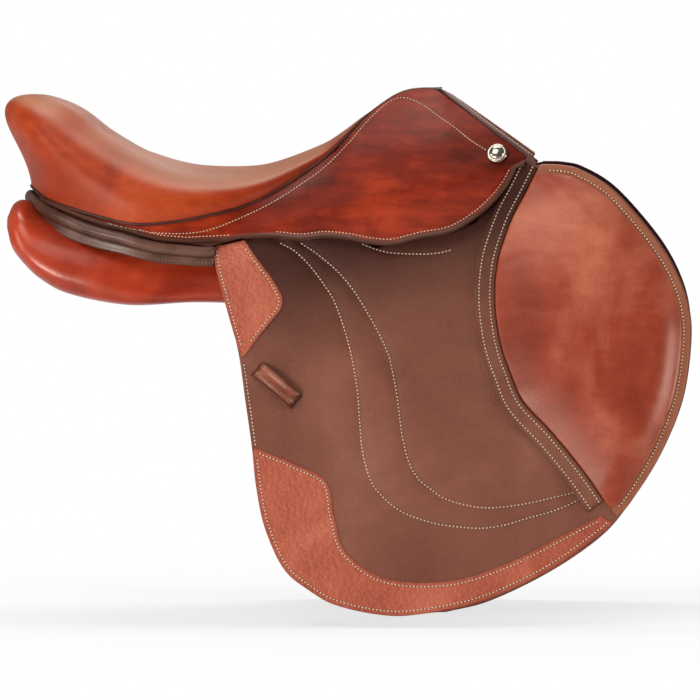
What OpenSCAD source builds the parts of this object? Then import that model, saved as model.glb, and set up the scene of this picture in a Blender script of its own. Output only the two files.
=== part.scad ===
// Jumping saddle on a laminated spring tree, with padded flaps that lift.
// X runs forward to the pommel, Y to the horse's left and Z up. The origin lies on the
// centre plane, at the middle of the length and at the height of the lowest panel.

/* [Seat] */
// Length of the seat from the cantle to the pommel peak
seat_length = 398; // [370:1:420]
// Half width of the seat where it is widest
seat_half_width = 128; // [118:1:138]
// Height of the pommel peak above the panel rest
pommel_height = 202; // [192:1:212]
// Distance of the cantle behind the origin
cantle_reach = 317; // [310:1:324]
// Thickness of the seat leather
seat_leather = 3; // [2:0.5:4]
// Diameter of the welt along the seat seam
welt_d = 4; // [3:0.5:6]
// Width of the cantle band
band_width = 24; // [18:1:26]
// Thickness of the cantle band
band_leather = 5; // [3:0.5:6]

/* [Tree] */
// Thickness of the laminated tree
tree_board = 11; // [9:0.5:13]
// Thickness of the steel springs and of the cantle plate
spring_leaf = 2; // [1.5:0.25:2.5]
// Diameter of the rivet heads
rivet_d = 9; // [7:0.5:10]
// Height of the rivet heads
rivet_rise = 2; // [1.5:0.25:2.5]
// Thickness of the webs
web_leaf = 2; // [1.5:0.25:2.5]
// Width of the strainer web under the seat
strainer_width = 44; // [30:1:50]
// Diameter of the studs that carry the panels
panel_stud_d = 8; // [6:0.5:10]

/* [Pommel] */
// Half width of the pommel arch at its foot
arch_half_width = 92; // [86:1:96]
// Length of the pommel slope from the peak to the foot
arch_slope = 100; // [92:1:106]
// Angle of the pommel slope below level
arch_pitch = 36; // [33:0.5:39]
// Width of the pommel facing
facing_width = 16; // [12:1:20]
// Thickness of the pommel facing
facing_leather = 3; // [2:0.5:4]
// Diameter of the pommel welt
pommel_welt_d = 4; // [3:0.5:6]
// Width of the wooden head of the tree
head_width = 19; // [15:1:21]
// Depth of the wooden head of the tree
head_depth = 20; // [14:1:22]
// Thickness of the steel head plate
head_plate_t = 3; // [2:0.5:4]
// Diameter of the pommel studs
stud_d = 19; // [14:0.5:21]
// Height of the pommel studs
stud_rise = 5; // [3:0.5:7]

/* [Skirts] */
// Thickness of the skirt leather
skirt_leather = 4; // [3:0.5:5]
// Swell of the fixed skirt between its edges
skirt_crown = 3; // [0:0.5:5]
// Greatest depth of the skirt lobe below its fold
lobe_depth = 43; // [36:1:46]

/* [Flaps] */
// Span of the flap along its fold
flap_span = 410; // [395:1:420]
// Drop of the flap below its fold
flap_drop = 388; // [370:1:400]
// Thickness of the flap leather
flap_leather = 5; // [4:0.5:6]
// Half width of the saddle at the rear end of the flap fold
flap_half_width = 108; // [106:0.5:112]
// Bow of the flap towards the horse at its lower edge
flap_bow = 38; // [30:1:44]
// Angle of the flap fold above level
flap_pitch = 14.25; // [13.5:0.25:15]
// Place of the rear end of the flap fold, as a share of the seat length ahead of the cantle
fold_share = 0.4724; // [0.465:0.0005:0.48]
// Height of the rear end of the flap fold above the panel rest
fold_height = 56.6; // [54:0.2:59]
// Thickness of the patches and seam strips on the flap
patch_leather = 1.5; // [1:0.25:1.75]
// Width of the seam strip beside the knee pad
strip_width = 19; // [14:1:22]
// Swell of the knee pad
knee_crown = 16; // [8:1:20]
// Thickness of the knee pad at its sewn border
knee_edge = 2; // [1.5:0.25:3]
// Thickness of the sweat flap
sweat_leather = 3.5; // [2.5:0.5:4.5]

/* [Strap keeper] */
// Length of the strap keeper
keeper_length = 52; // [44:1:58]
// Width of the strap keeper
keeper_width = 15; // [12:1:18]
// Height of the opening under the strap keeper
keeper_gap = 7; // [5:0.5:9]
// Thickness of the strap keeper
keeper_leather = 3; // [2:0.5:4]

/* [Billets] */
// Width of a billet
billet_width = 25; // [22:1:27]
// Thickness of a billet
billet_leather = 3.5; // [2.5:0.25:4]
// Length of a billet
billet_length = 290; // [250:5:300]
// Distance between billets
billet_pitch = 33; // [30:1:35]
// Place of the front billet, as a share of the seat length ahead of the cantle
billet_share = 0.8216; // [0.81:0.0005:0.83]
// Diameter of the punched holes
billet_hole_d = 6; // [5:0.5:7]
// Diameter of the stud that a billet hangs on
billet_stud_d = 8; // [6:0.5:9]

/* [Panels] */
// Length of a panel
panel_length = 459; // [446:1:466]
// Distance of the rear end of the panels behind the seat
panel_back = 3; // [0:1:6]
// Half width across both panels
panel_out = 128; // [124:1:130]
// Height of the panels under the front of the tree, as a share of the pommel height
panel_rise_share = 0.416; // [0.38:0.002:0.42]
// Clear width of the gullet channel
gullet_width = 72; // [64:1:78]
// Thickness of the gullet lining
gullet_lining_t = 3; // [2:0.5:4]

/* [Stirrup bars] */
// Diameter of a stirrup bar
bar_d = 7; // [6:0.25:7.5]
// Length of a stirrup bar from its catch pin to its elbow
bar_length = 50; // [45:1:52]
// Distance of the catch pin along the fold
bar_place = 176; // [172:1:180]
// Drop of the stirrup bar below the fold
bar_drop = 16; // [15:0.5:18]
// Thickness of the plate that carries the bar
bar_plate_t = 3; // [2:0.5:3.5]
// Length of the catch beyond its pin
catch_length = 16; // [13:1:17]
// Diameter of the catch pin
catch_pin_d = 3; // [2:0.25:3.5]
// Thickness of the tongue that the catch straddles
tongue_t = 3.6; // [2.5:0.1:4]

/* [Hidden] */

// Gap between pieces that lie on each other
fit_gap = 0.4;
// Gap round the hinge pins
pin_gap = 0.05;
// Room on each side of a billet
swing_gap = 1.8;
// Overrun of every cut
cut = 1;
// Step of a share for a difference quotient
small_share = 0.002;
// Facets on true round surfaces
round_fn = 48;

leather_red = [0.66, 0.27, 0.17];
leather_brown = [0.45, 0.29, 0.23];
leather_dark = [0.30, 0.20, 0.17];
leather_patch = [0.72, 0.40, 0.31];
wood = [0.78, 0.62, 0.42];
steel = [0.62, 0.63, 0.66];
webbing = [0.86, 0.83, 0.75];
foam = [0.90, 0.87, 0.80];

// Shares of a curve through given points
function mix(a, b, t) = a + (b - a) * t;
function unit(v) = v / norm(v);
function clamp(t) = max(0, min(1, t));
function ease(t) = clamp(t) * clamp(t) * (3 - 2 * clamp(t));
function steps(a, b, n) = [for (i = [0 : n]) mix(a, b, i / n)];
function flipped(p) = [p[0], -p[1], p[2]];
function scaled(rows, sizes) = [for (row = rows) [for (i = [0 : len(sizes) - 1]) row[i] * sizes[i]]];

function knot(list, i) =
    let (last = len(list) - 1)
    i < 0 ? 2 * list[0] - list[1]
    : i > last ? 2 * list[last] - list[last - 1]
    : list[i];

function spline(list, u) =
    let (n = len(list) - 1)
    let (k = max(0, min(floor(u * n), n - 1)))
    let (t = u * n - k)
    let (a = knot(list, k - 1), b = list[k], c = list[k + 1], d = knot(list, k + 2))
    (2 * b + (c - a) * t + (2 * a - 5 * b + 4 * c - d) * t * t
        + (3 * b - a - 3 * c + d) * t * t * t) / 2;

// A rail moved sideways by a distance in its own plane
function beside(list, u, distance) =
    let (run = unit(spline(list, u + small_share) - spline(list, u - small_share)))
    spline(list, u) + distance * [run[1], -run[0]];

// Closed solid with its faces turned outward
module closed(points, faces) {
    volumes = [for (f = faces) cross(points[f[0]], points[f[1]]) * points[f[2]]];
    inside_out = volumes * [for (f = faces) 1] > 0;
    polyhedron(points, inside_out ? [for (f = faces) [f[2], f[1], f[0]]] : faces);
}

// Solid between two grids of points. A folded solid doubles back on its last row.
module slab(top, low, folded = false) {
    rows = len(top);
    cols = len(top[0]);
    n = rows * cols;
    function at(i, j) = i * cols + (folded && i == rows - 1 ? min(j, cols - 1 - j) : j);
    skin = [for (i = [0 : rows - 2], j = [0 : cols - 2]) each [
        [at(i, j), at(i, j + 1), at(i + 1, j + 1)],
        [at(i, j), at(i + 1, j + 1), at(i + 1, j)]]];
    under = [for (f = skin) [f[2] + n, f[1] + n, f[0] + n]];
    edges = concat(
        [for (j = [0 : cols - 2]) [at(0, j), at(0, j + 1)]],
        [for (i = [0 : rows - 2]) [at(i, cols - 1), at(i + 1, cols - 1)]],
        folded ? [] : [for (j = [0 : cols - 2]) [at(rows - 1, j + 1), at(rows - 1, j)]],
        [for (i = [0 : rows - 2]) [at(i + 1, 0), at(i, 0)]]);
    walls = [for (e = edges) each [
        [e[1], e[0], e[0] + n],
        [e[1], e[0] + n, e[1] + n]]];
    points = concat([for (row = top) each row], [for (row = low) each row]);
    closed(points, concat(skin, under, walls));
}

// Solid through a list of rings, closed at both ends
module rings(list) {
    count = len(list);
    sides = len(list[0]);
    skin = [for (i = [0 : count - 2], j = [0 : sides - 1]) let (k = (j + 1) % sides) each [
        [i * sides + j, i * sides + k, (i + 1) * sides + k],
        [i * sides + j, (i + 1) * sides + k, (i + 1) * sides + j]]];
    ends = [for (j = [1 : sides - 2]) each [
        [j + 1, j, 0],
        [(count - 1) * sides, (count - 1) * sides + j, (count - 1) * sides + j + 1]]];
    closed([for (ring = list) each ring], concat(skin, ends));
}

// Round cord along a path
module cord(path, d, level = [0, 0, 1], sides = 8) {
    last = len(path) - 1;
    rings([for (i = [0 : last])
        let (run = unit(path[min(i + 1, last)] - path[max(i - 1, 0)]))
        let (across = unit(cross(run, level)), up = cross(across, run))
        [for (k = [0 : sides - 1])
            path[i] + d / 2 * (cos(360 * k / sides) * across + sin(360 * k / sides) * up)]]);
}

// Puts a piece at a point, with its Z along a direction
module aim(point, along) {
    translate(point)
        rotate([0, acos(unit(along)[2]), atan2(along[1], along[0])])
            children();
}

// Draws a left piece, or the same piece on the right
module side(left) {
    if (left) children();
    else mirror([0, 1, 0]) children();
}

// Seat stations from the pommel round to the cantle, each a rib from the seam to the spine:
// seam x, y and z, spine x and z, rim z, base z, place of the rim, overhang of the cantle
seat_shares = [
    [1.005, 0.16, 0.985, 0.998, 1.012, 1.008, 0.930, 0.50, 0.00],
    [0.914, 0.24, 0.945, 0.914, 0.990, 0.986, 0.900, 0.50, 0.00],
    [0.830, 0.37, 0.840, 0.830, 0.882, 0.880, 0.815, 0.50, 0.00],
    [0.776, 0.46, 0.755, 0.776, 0.800, 0.804, 0.740, 0.50, 0.00],
    [0.723, 0.54, 0.666, 0.723, 0.732, 0.742, 0.660, 0.55, 0.00],
    [0.615, 0.70, 0.530, 0.615, 0.649, 0.666, 0.530, 0.58, 0.01],
    [0.541, 0.82, 0.464, 0.541, 0.616, 0.634, 0.464, 0.60, 0.02],
    [0.445, 0.94, 0.418, 0.445, 0.614, 0.644, 0.416, 0.62, 0.02],
    [0.373, 0.99, 0.395, 0.382, 0.629, 0.673, 0.394, 0.65, 0.03],
    [0.296, 1.00, 0.388, 0.331, 0.649, 0.725, 0.388, 0.68, 0.04],
    [0.231, 0.96, 0.413, 0.294, 0.668, 0.792, 0.387, 0.72, 0.06],
    [0.147, 0.86, 0.459, 0.268, 0.683, 0.886, 0.390, 0.80, 0.10],
    [0.086, 0.67, 0.500, 0.254, 0.693, 0.946, 0.396, 0.90, 0.17],
    [0.051, 0.39, 0.540, 0.245, 0.698, 0.955, 0.400, 1.00, 0.23],
    [0.035, 0.00, 0.554, 0.240, 0.700, 0.953, 0.405, 1.05, 0.25]];
seat_sizes = [seat_length, seat_half_width, pommel_height, seat_length, pommel_height,
    pommel_height, pommel_height, 1, 1];
seat_rows = scaled(seat_shares, seat_sizes);
seat_last = len(seat_rows) - 1;
// The stations go on past the back of the cantle as a mirror image
seat_beyond = [for (i = [0 : 8]) i == 1 ? -seat_rows[seat_last - 1][i] : seat_rows[seat_last - 1][i]];
seat_knots = concat(seat_rows, [seat_beyond]);

// Share of a rib that climbs from the seam to the rim
wall_share = 0.62;
// Strength of the overhang, whose peak lies above the middle of the wall
hook_share = 1.3;

function seat_row(u) = spline(seat_knots, u * seat_last / (seat_last + 1));

function seat_place(row, r, z) = [row[3] + r * (row[0] - row[3]) - cantle_reach, r * row[1], z];

function seat_point(u, t) =
    let (row = seat_row(u), a = 90 * t / wall_share, w = (t - wall_share) / (1 - wall_share))
    t <= wall_share
        ? seat_place(row, row[7] + (1 - row[7]) * cos(a) + row[8] * hook_share * sin(2 * a) * sin(a),
            row[2] + (row[5] - row[2]) * sin(a))
        : seat_place(row, row[7] * (1 - w), mix(row[5], row[4], ease(w)));

function seat_normal(u, t) =
    let (lift = t > 1 - small_share ? t - small_share : t)
    let (along = seat_point(u + small_share, lift) - seat_point(u - small_share, lift))
    let (across = seat_point(u, lift + small_share) - seat_point(u, lift))
    unit(cross(along, across));

// Point under the seat surface, on the centre plane at the spine
function seat_inset(u, t, depth) =
    let (p = seat_point(u, t) - depth * seat_normal(u, t))
    t == 1 ? [p[0], 0, p[2]] : u == 1 ? [p[0], 0, p[2]] : p;

// Base of the seat, from the spine at 0 to the seam at 1
function base_point(u, r, depth = 0) =
    let (row = seat_row(u))
    seat_place(row, r, mix(row[6], row[2], r) - depth);

function base_normal(u, r) =
    unit(cross(
        base_point(u, r + small_share) - base_point(u, r),
        base_point(u + small_share, r) - base_point(u, r)));

// Seam, its outward direction and its downward direction
function seam_point(u) = seat_point(u, 0);
function seam_out(u) =
    let (row = seat_row(u))
    unit([row[0] - row[3], row[1], 0]);
function seam_down(u) =
    let (run = seat_point(u + small_share, 0) - seat_point(u - small_share, 0))
    unit(cross(run, seam_out(u)));
function under_seam(u, depth, out = 0) = seam_point(u) + depth * seam_down(u) + out * seam_out(u);

seat_steps = 26;
rib_steps = 9;

// Rows across the seat from the left seam over the spine to the right seam
function across_seat(us, ts, f) = [for (u = us)
    let (half = [for (t = ts) f(u, t)])
    concat(half, [for (i = [len(half) - 2 : -1 : 0]) flipped(half[i])])];

module seat_cover() {
    us = steps(0, 1, seat_steps);
    ts = steps(0, 1, rib_steps);
    color(leather_red)
        slab(across_seat(us, ts, function (u, t) seat_inset(u, t, 0)),
            across_seat(us, ts, function (u, t) seat_inset(u, t, seat_leather)), folded = true);
}

foam_edge_share = 0.08;
foam_front_share = 0.03;

module seat_foam() {
    us = [for (u = steps(0, 1, seat_steps)) max(u, foam_front_share)];
    ts = [for (t = steps(0, 1, rib_steps)) max(t, foam_edge_share)];
    depth = seat_leather + 2 * fit_gap;
    color(foam)
        slab(across_seat(us, ts, function (u, t) seat_inset(u, t, depth)),
            across_seat(us, ts, function (u, t) base_point(u, 1 - t)),
            folded = true);
}

seam_gap = welt_d / 2 + fit_gap;
skirt_start = welt_d + 2 * fit_gap;
welt_front_share = 0.13;

// Path round the seam from the left front to the right front
function round_seam(from, n, f) =
    let (left = [for (u = steps(from, 1, n)) f(u)])
    concat(left, [for (i = [n - 1 : -1 : 0]) flipped(left[i])]);

module seat_welt() {
    color(leather_dark)
        cord(round_seam(welt_front_share, seat_steps, function (u) under_seam(u, seam_gap)), welt_d);
}

// Tree under the foam
tree_in_share = 0.66;
tree_out_share = 0.88;
tree_front_share = 0.05;
plate_in_share = 0.76;
plate_out_share = 0.86;
tree_top = fit_gap;
tree_low = tree_top + tree_board;
leaf_top = tree_low + fit_gap;
leaf_low = leaf_top + spring_leaf;

// Ring or strip of board under the base of the seat
module board(from, to, n, r_in, r_out, top, low) {
    us = steps(from, to, n);
    around = to == 1;
    function line(r, depth) =
        let (left = [for (u = us) base_point(u, r, depth)])
        around ? concat(left, [for (i = [n - 1 : -1 : 0]) flipped(left[i])]) : left;
    slab([line(r_in, top), line(r_out, top)], [line(r_in, low), line(r_out, low)]);
}

module tree() {
    color(wood)
        board(tree_front_share, 1, seat_steps, tree_in_share, tree_out_share, tree_top, tree_low);
}

plate_from_share = 0.74;
spring_shares = [0.10, 0.70];

module cantle_plate() {
    color(steel)
        board(plate_from_share, 1, seat_steps / 2, plate_in_share, plate_out_share, leaf_top, leaf_low);
}

module tree_springs() {
    color(steel)
        for (left = [true, false])
            side(left)
                board(spring_shares[0], spring_shares[1], seat_steps / 2, plate_in_share,
                    plate_out_share, leaf_top, leaf_low);
}

rivet_shares = [0.20, 0.35, 0.52, 0.66, 0.80, 0.90];
rivet_top_share = 0.6;

module tree_rivets() {
    middle = (plate_in_share + plate_out_share) / 2;
    color(steel)
        for (left = [true, false], u = rivet_shares)
            side(left)
                aim(base_point(u, middle, leaf_low) - fit_gap * base_normal(u, middle),
                    -base_normal(u, middle))
                    cylinder(h = rivet_rise, d1 = rivet_d, d2 = rivet_d * rivet_top_share, $fn = round_fn);
}

strainer_shares = [0.12, 0.80];

module strainer_web() {
    us = steps(strainer_shares[0], strainer_shares[1], seat_steps / 2);
    function line(y, depth) = [for (u = us) base_point(u, 0, depth) + [0, y, 0]];
    half = strainer_width / 2;
    top = fit_gap;
    color(webbing)
        slab([line(-half, top), line(half, top)], [line(-half, top + web_leaf), line(half, top + web_leaf)]);
}

// Pommel arch, laid out on its slope: half width and distance down the slope
arch_shares = [[0, 0], [0.22, 0.02], [0.38, 0.10], [0.55, 0.28], [0.72, 0.48], [0.87, 0.70], [1, 1]];
arch_half = scaled(arch_shares, [arch_half_width, arch_slope]);
arch_sink = 3;
arch_peak = [seat_length * seat_shares[0][3] - cantle_reach + cut, 0, pommel_height - arch_sink];
arch_run = [cos(arch_pitch), 0, -sin(arch_pitch)];
arch_up = [sin(arch_pitch), 0, cos(arch_pitch)];
arch_steps = 14;

function arch_point(v, lift = 0) =
    let (p = spline(arch_half, v))
    arch_peak + p[1] * arch_run + [0, p[0], 0] + lift * arch_up;

function inside_arch(v, inset) =
    v == 0 ? [0, inset] : beside(arch_half, v, -inset);

// Flat arch on the slope, between two insets and two levels
module arch_board(outer, inner, low, high) {
    vs = steps(1, 0, arch_steps);
    function edge(inset) =
        let (left = [for (v = vs) let (p = inside_arch(v, inset)) [p[1], p[0]]])
        concat(left, [for (i = [arch_steps - 1 : -1 : 0]) [left[i][0], -left[i][1]]]);
    back = edge(inner);
    translate(arch_peak)
        rotate([0, arch_pitch, 0])
            translate([0, 0, low])
                linear_extrude(height = high - low)
                    polygon(concat(edge(outer), [for (i = [len(back) - 1 : -1 : 0]) back[i]]));
}

facing_inset = pommel_welt_d + fit_gap;
head_room = 4;
head_inset = skirt_leather + pommel_welt_d + head_room;

module pommel_facing() {
    color(leather_patch)
        arch_board(facing_inset, facing_inset + facing_width, fit_gap, fit_gap + facing_leather);
}

module head_plate() {
    color(steel)
        arch_board(head_inset + fit_gap, head_inset + head_width - fit_gap,
            -fit_gap - head_plate_t, -fit_gap);
}

module tree_head() {
    front = 2 * fit_gap + head_plate_t;
    color(wood)
        arch_board(head_inset, head_inset + head_width, -front - head_depth, -front);
}

module pommel_welt() {
    lift = pommel_welt_d / 2 + fit_gap;
    function on_slope(v) =
        let (p = inside_arch(v, pommel_welt_d / 2))
        arch_peak + p[1] * arch_run + [0, p[0], 0] + lift * arch_up;
    left = [for (v = steps(1, 0, arch_steps)) on_slope(v)];
    color(leather_dark)
        cord(concat(left, [for (i = [arch_steps - 1 : -1 : 0]) flipped(left[i])]), pommel_welt_d, arch_up);
}

// Face of the saddle's side below the flap fold: p runs along the fold, q down from it
flap_lean_share = 0.34;
flap_taper_share = 0.08;
fold_rear = cantle_reach - round(fold_share * seat_length);

function side_face(p, q) =
    let (down_share = q / flap_drop)
    flap_half_width - flap_taper_share * p + flap_lean_share * q - flap_bow * down_share * down_share;

function side_point(p, q, lift) = [
    -fold_rear + p * cos(flap_pitch) + q * sin(flap_pitch),
    side_face(p, q) + lift,
    fold_height + p * sin(flap_pitch) - q * cos(flap_pitch)];

function fold_p(x, z) = (x + fold_rear) * cos(flap_pitch) + (z - fold_height) * sin(flap_pitch);
function fold_q(x, z) = (x + fold_rear) * sin(flap_pitch) - (z - fold_height) * cos(flap_pitch);
function side_at(x, z, lift) = side_face(fold_p(x, z), fold_q(x, z)) + lift;

patch_lift = flap_leather + fit_gap;
lobe_lift = patch_lift + patch_leather + 2 * fit_gap;
lobe_out = lobe_lift + skirt_leather;

// Lower edge of the fixed skirt: the fold, and behind it the tail over the cantle band
tail_length = 96;
tail_flare = 9.4;
tail_rise = 18.4;
tail_shares = [[0, 0], [0.45, 0.14], [0.90, 0.27], [0.98, 0.62], [0.47, 1]];
tail_rows = scaled(tail_shares, [tail_flare, tail_rise]);

function skirt_low(x) =
    let (run = (x + fold_rear) / cos(flap_pitch))
    let (tail = spline(tail_rows, clamp((-fold_rear - x) / tail_length)))
    x >= -fold_rear
        ? side_point(run, 0, lobe_out)
        : side_point(0, 0, lobe_out) + [x + fold_rear, tail[0], tail[1]];

// The skirt closes up to the seat where the welt fades out
welt_fade_shares = [0.03, 0.11];
function skirt_gap(u) =
    mix(fit_gap, skirt_start, ease((u - welt_fade_shares[0]) / (welt_fade_shares[1] - welt_fade_shares[0])));

skirt_seam_shares = steps(0.714, 0.02, 8);
skirt_arch_shares = [0.27, 0.40, 0.52, 0.64, 0.76, 0.88, 1];
skirt_top = concat(
    [for (u = skirt_seam_shares) under_seam(u, skirt_gap(u), fit_gap)],
    [for (v = skirt_arch_shares) arch_point(v)]);
skirt_foot = [for (p = skirt_top) skirt_low(p[0])];
// Direction of the skirt's thickness at its top, and at its foot
skirt_lie_top = unit([0, 0.6, 0.8]);
skirt_lie_foot = [0, 1, 0];

function skirt_lie(w) = unit(mix(skirt_lie_top, skirt_lie_foot, w));
function skirt_point(s, w, depth) =
    mix(spline(skirt_top, s), spline(skirt_foot, s), w)
        + (4 * skirt_crown * w * (1 - w) - depth) * skirt_lie(w);
function skirt_grid(s_list, w_list, depth) =
    [for (s = s_list) [for (w = w_list) skirt_point(s, w, depth)]];

skirt_steps = 26;

module skirt(left) {
    ss = steps(0, 1, skirt_steps);
    ws = steps(0, 1, 5);
    color(leather_red)
        side(left)
            slab(skirt_grid(ss, ws, 0), skirt_grid(ss, ws, skirt_leather));
}

side_s_shares = [0.487, 0.71];
side_w_shares = [0.30, 0.80];
side_board = 10;
plate_under = skirt_leather + fit_gap;
board_under = plate_under + bar_plate_t + fit_gap;

module tree_side(left) {
    ss = steps(side_s_shares[0], side_s_shares[1], 5);
    ws = steps(side_w_shares[0], side_w_shares[1], 3);
    color(wood)
        side(left)
            slab(skirt_grid(ss, ws, board_under), skirt_grid(ss, ws, board_under + side_board));
}

stud_s_share = 0.90;
stud_w_share = 0.52;

module pommel_studs() {
    p = skirt_point(stud_s_share, stud_w_share, 0);
    along = skirt_point(stud_s_share + small_share, stud_w_share, 0) - p;
    down = skirt_point(stud_s_share, stud_w_share + small_share, 0) - p;
    out = unit(cross(down, along));
    outward = out[1] > 0 ? out : -out;
    color(steel)
        for (left = [true, false])
            side(left)
                aim(p + 2 * fit_gap * outward, outward)
                    rotate_extrude($fn = round_fn)
                        polygon(scaled(stud_shares, [stud_d / 2, stud_rise]));
}
// Profile of a stud as shares of its radius and its height
stud_shares = [[0, 0], [1, 0], [1, 0.25], [0.94, 0.42], [0.80, 0.62], [0.60, 0.80], [0.30, 0.95], [0, 1]];

// Cantle band, from the flaps round the back of the saddle
band_front_share = 0.51;
band_join_shares = [0.70, 0.82];
band_narrow_share = 0.77;
band_roll = 3;
band_out = 1.5;

function band_top(u) =
    let (seam = under_seam(u, skirt_start + fit_gap, band_out))
    let (low = skirt_low(seam[0]) + [0, band_out, -fit_gap])
    mix(low, seam, ease((u - band_join_shares[0]) / (band_join_shares[1] - band_join_shares[0])));

function band_point(u, w, depth) =
    let (rear = ease((u - band_front_share) / (1 - band_front_share)))
    let (width = band_width * mix(band_narrow_share, 1, rear))
    band_top(u) + [0, 0, -w * width]
        + (band_roll * sin(180 * pow(w, 0.6)) - depth) * seam_out(u);

module cantle_band() {
    ws = steps(0, 1, 4);
    function line(w, depth) =
        round_seam(band_front_share, seat_steps / 2, function (u) band_point(u, w, depth));
    color(leather_dark)
        slab([for (w = ws) line(w, 0)], [for (w = ws) line(w, band_leather)]);
}

// Flap outline from its fold down its rear and front edges, as shares of span and drop
flap_rear_shares = [[0, 0.006], [0.004, 0.12], [0.006, 0.255], [-0.004, 0.375], [-0.013, 0.475],
    [-0.025, 0.585], [-0.027, 0.68], [-0.008, 0.78], [0.036, 0.845], [0.092, 0.899],
    [0.20, 0.952], [0.30, 0.97]];
flap_front_shares = [[0.765, 0.006], [0.814, 0.02], [0.854, 0.041], [0.915, 0.107],
    [0.975, 0.227], [1.006, 0.322], [1.016, 0.418], [1, 0.507], [0.95, 0.632], [0.869, 0.746],
    [0.777, 0.836], [0.697, 0.894], [0.568, 0.944], [0.423, 0.975], [0.32, 0.975]];
flap_sizes = [flap_span, flap_drop];
flap_rear = scaled(flap_rear_shares, flap_sizes);
flap_front = scaled(flap_front_shares, flap_sizes);

// The top of the flap is cut away over the stirrup bar
notch_rear_room = 12;
notch_front_room = 16;
notch_rear = bar_place - catch_length - notch_rear_room;
notch_front = bar_place + bar_length + notch_front_room;
notch_ramp = 24;
notch_depth = 38;
notch_fade = 95;

function notch(p, q) =
    notch_depth * max(0, 1 - q / notch_fade)
        * ease((p - notch_rear + notch_ramp) / notch_ramp)
        * ease((notch_front + notch_ramp - p) / notch_ramp);

// Sheet on the side face between two rails, with a swell from 0 at its edges
function sheet(a, b, rows, cols, lift, swell = 0, cut_away = false) =
    [for (s = steps(0, 1, rows)) [for (w = steps(0, 1, cols))
        let (pq = mix(spline(a, s), spline(b, s), w))
        let (q = pq[1] + (cut_away ? notch(pq[0], pq[1]) : 0))
        side_point(pq[0], q, lift + swell * pow(sin(180 * w), 0.7) * pow(sin(180 * s), 0.6))]];

module flap(left) {
    color(leather_brown)
        side(left)
            slab(sheet(flap_rear, flap_front, 22, 12, flap_leather, 0, true),
                sheet(flap_rear, flap_front, 22, 12, 0, 0, true));
}

strip_shares = [[0.760, 0.012], [0.721, 0.06], [0.679, 0.11], [0.649, 0.155], [0.625, 0.197],
    [0.606, 0.247], [0.592, 0.304], [0.585, 0.364], [0.584, 0.416], [0.589, 0.466],
    [0.601, 0.539], [0.646, 0.625], [0.692, 0.726], [0.724, 0.812]];
strip_front = scaled(strip_shares, flap_sizes);
strip_rear = [for (u = steps(0, 1, len(strip_front) - 1)) beside(strip_front, u, -strip_width)];

module seam_strip(left) {
    color(leather_brown)
        side(left)
            slab(sheet(strip_rear, strip_front, 20, 1, patch_lift + patch_leather),
                sheet(strip_rear, strip_front, 20, 1, patch_lift));
}

knee_front_shares = [[0.772, 0.012], [0.814, 0.028], [0.850, 0.055], [0.905, 0.117],
    [0.960, 0.232], [0.990, 0.325], [1, 0.418], [0.984, 0.505], [0.936, 0.625], [0.858, 0.736],
    [0.775, 0.825], [0.742, 0.850]];
knee_front = scaled(knee_front_shares, flap_sizes);
knee_rear = [for (u = steps(0, 1, len(strip_front) - 1)) beside(strip_front, u, fit_gap)];

module knee_pad(left) {
    color(leather_red)
        side(left)
            slab(sheet(knee_rear, knee_front, 22, 10, patch_lift + knee_edge, knee_crown),
                sheet(knee_rear, knee_front, 22, 10, patch_lift));
}

rear_patch_front_shares = [[0.074, 0.012], [0.10, 0.069], [0.122, 0.124], [0.134, 0.162],
    [0.126, 0.187], [0.101, 0.21], [0.058, 0.243], [0.018, 0.276]];
rear_patch_rear_shares = [[0.004, 0.010], [0.006, 0.06], [0.008, 0.12],
    [0.01, 0.18], [0.01, 0.23], [0.01, 0.274]];

module rear_patch(left) {
    rear = scaled(rear_patch_rear_shares, flap_sizes);
    front = scaled(rear_patch_front_shares, flap_sizes);
    color(leather_patch)
        side(left)
            slab(sheet(rear, front, 10, 3, patch_lift + patch_leather),
                sheet(rear, front, 10, 3, patch_lift));
}

lower_in_shares = [[-0.006, 0.489], [0.067, 0.546], [0.13, 0.607], [0.129, 0.696], [0.137, 0.78],
    [0.206, 0.862], [0.343, 0.906], [0.487, 0.898], [0.638, 0.862], [0.71, 0.845]];
lower_out_shares = [[-0.011, 0.495], [-0.022, 0.585], [-0.024, 0.68], [-0.005, 0.78], [0.038, 0.843],
    [0.093, 0.895], [0.20, 0.947], [0.31, 0.965], [0.423, 0.965], [0.568, 0.935], [0.697, 0.884],
    [0.73, 0.865]];

module lower_patch(left) {
    inner = scaled(lower_in_shares, flap_sizes);
    outer = scaled(lower_out_shares, flap_sizes);
    color(leather_patch)
        side(left)
            slab(sheet(inner, outer, 22, 3, patch_lift + patch_leather),
                sheet(inner, outer, 22, 3, patch_lift));
}

// Strap keeper: an arched strip with a foot at each end
keeper_share = [0.072, 0.36];
keeper_turn = 54;
keeper_arch_shares = [[-0.5, 0], [-0.34, 0], [-0.24, 0.75], [-0.12, 1], [0.12, 1], [0.24, 0.75],
    [0.34, 0], [0.5, 0]];

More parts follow.
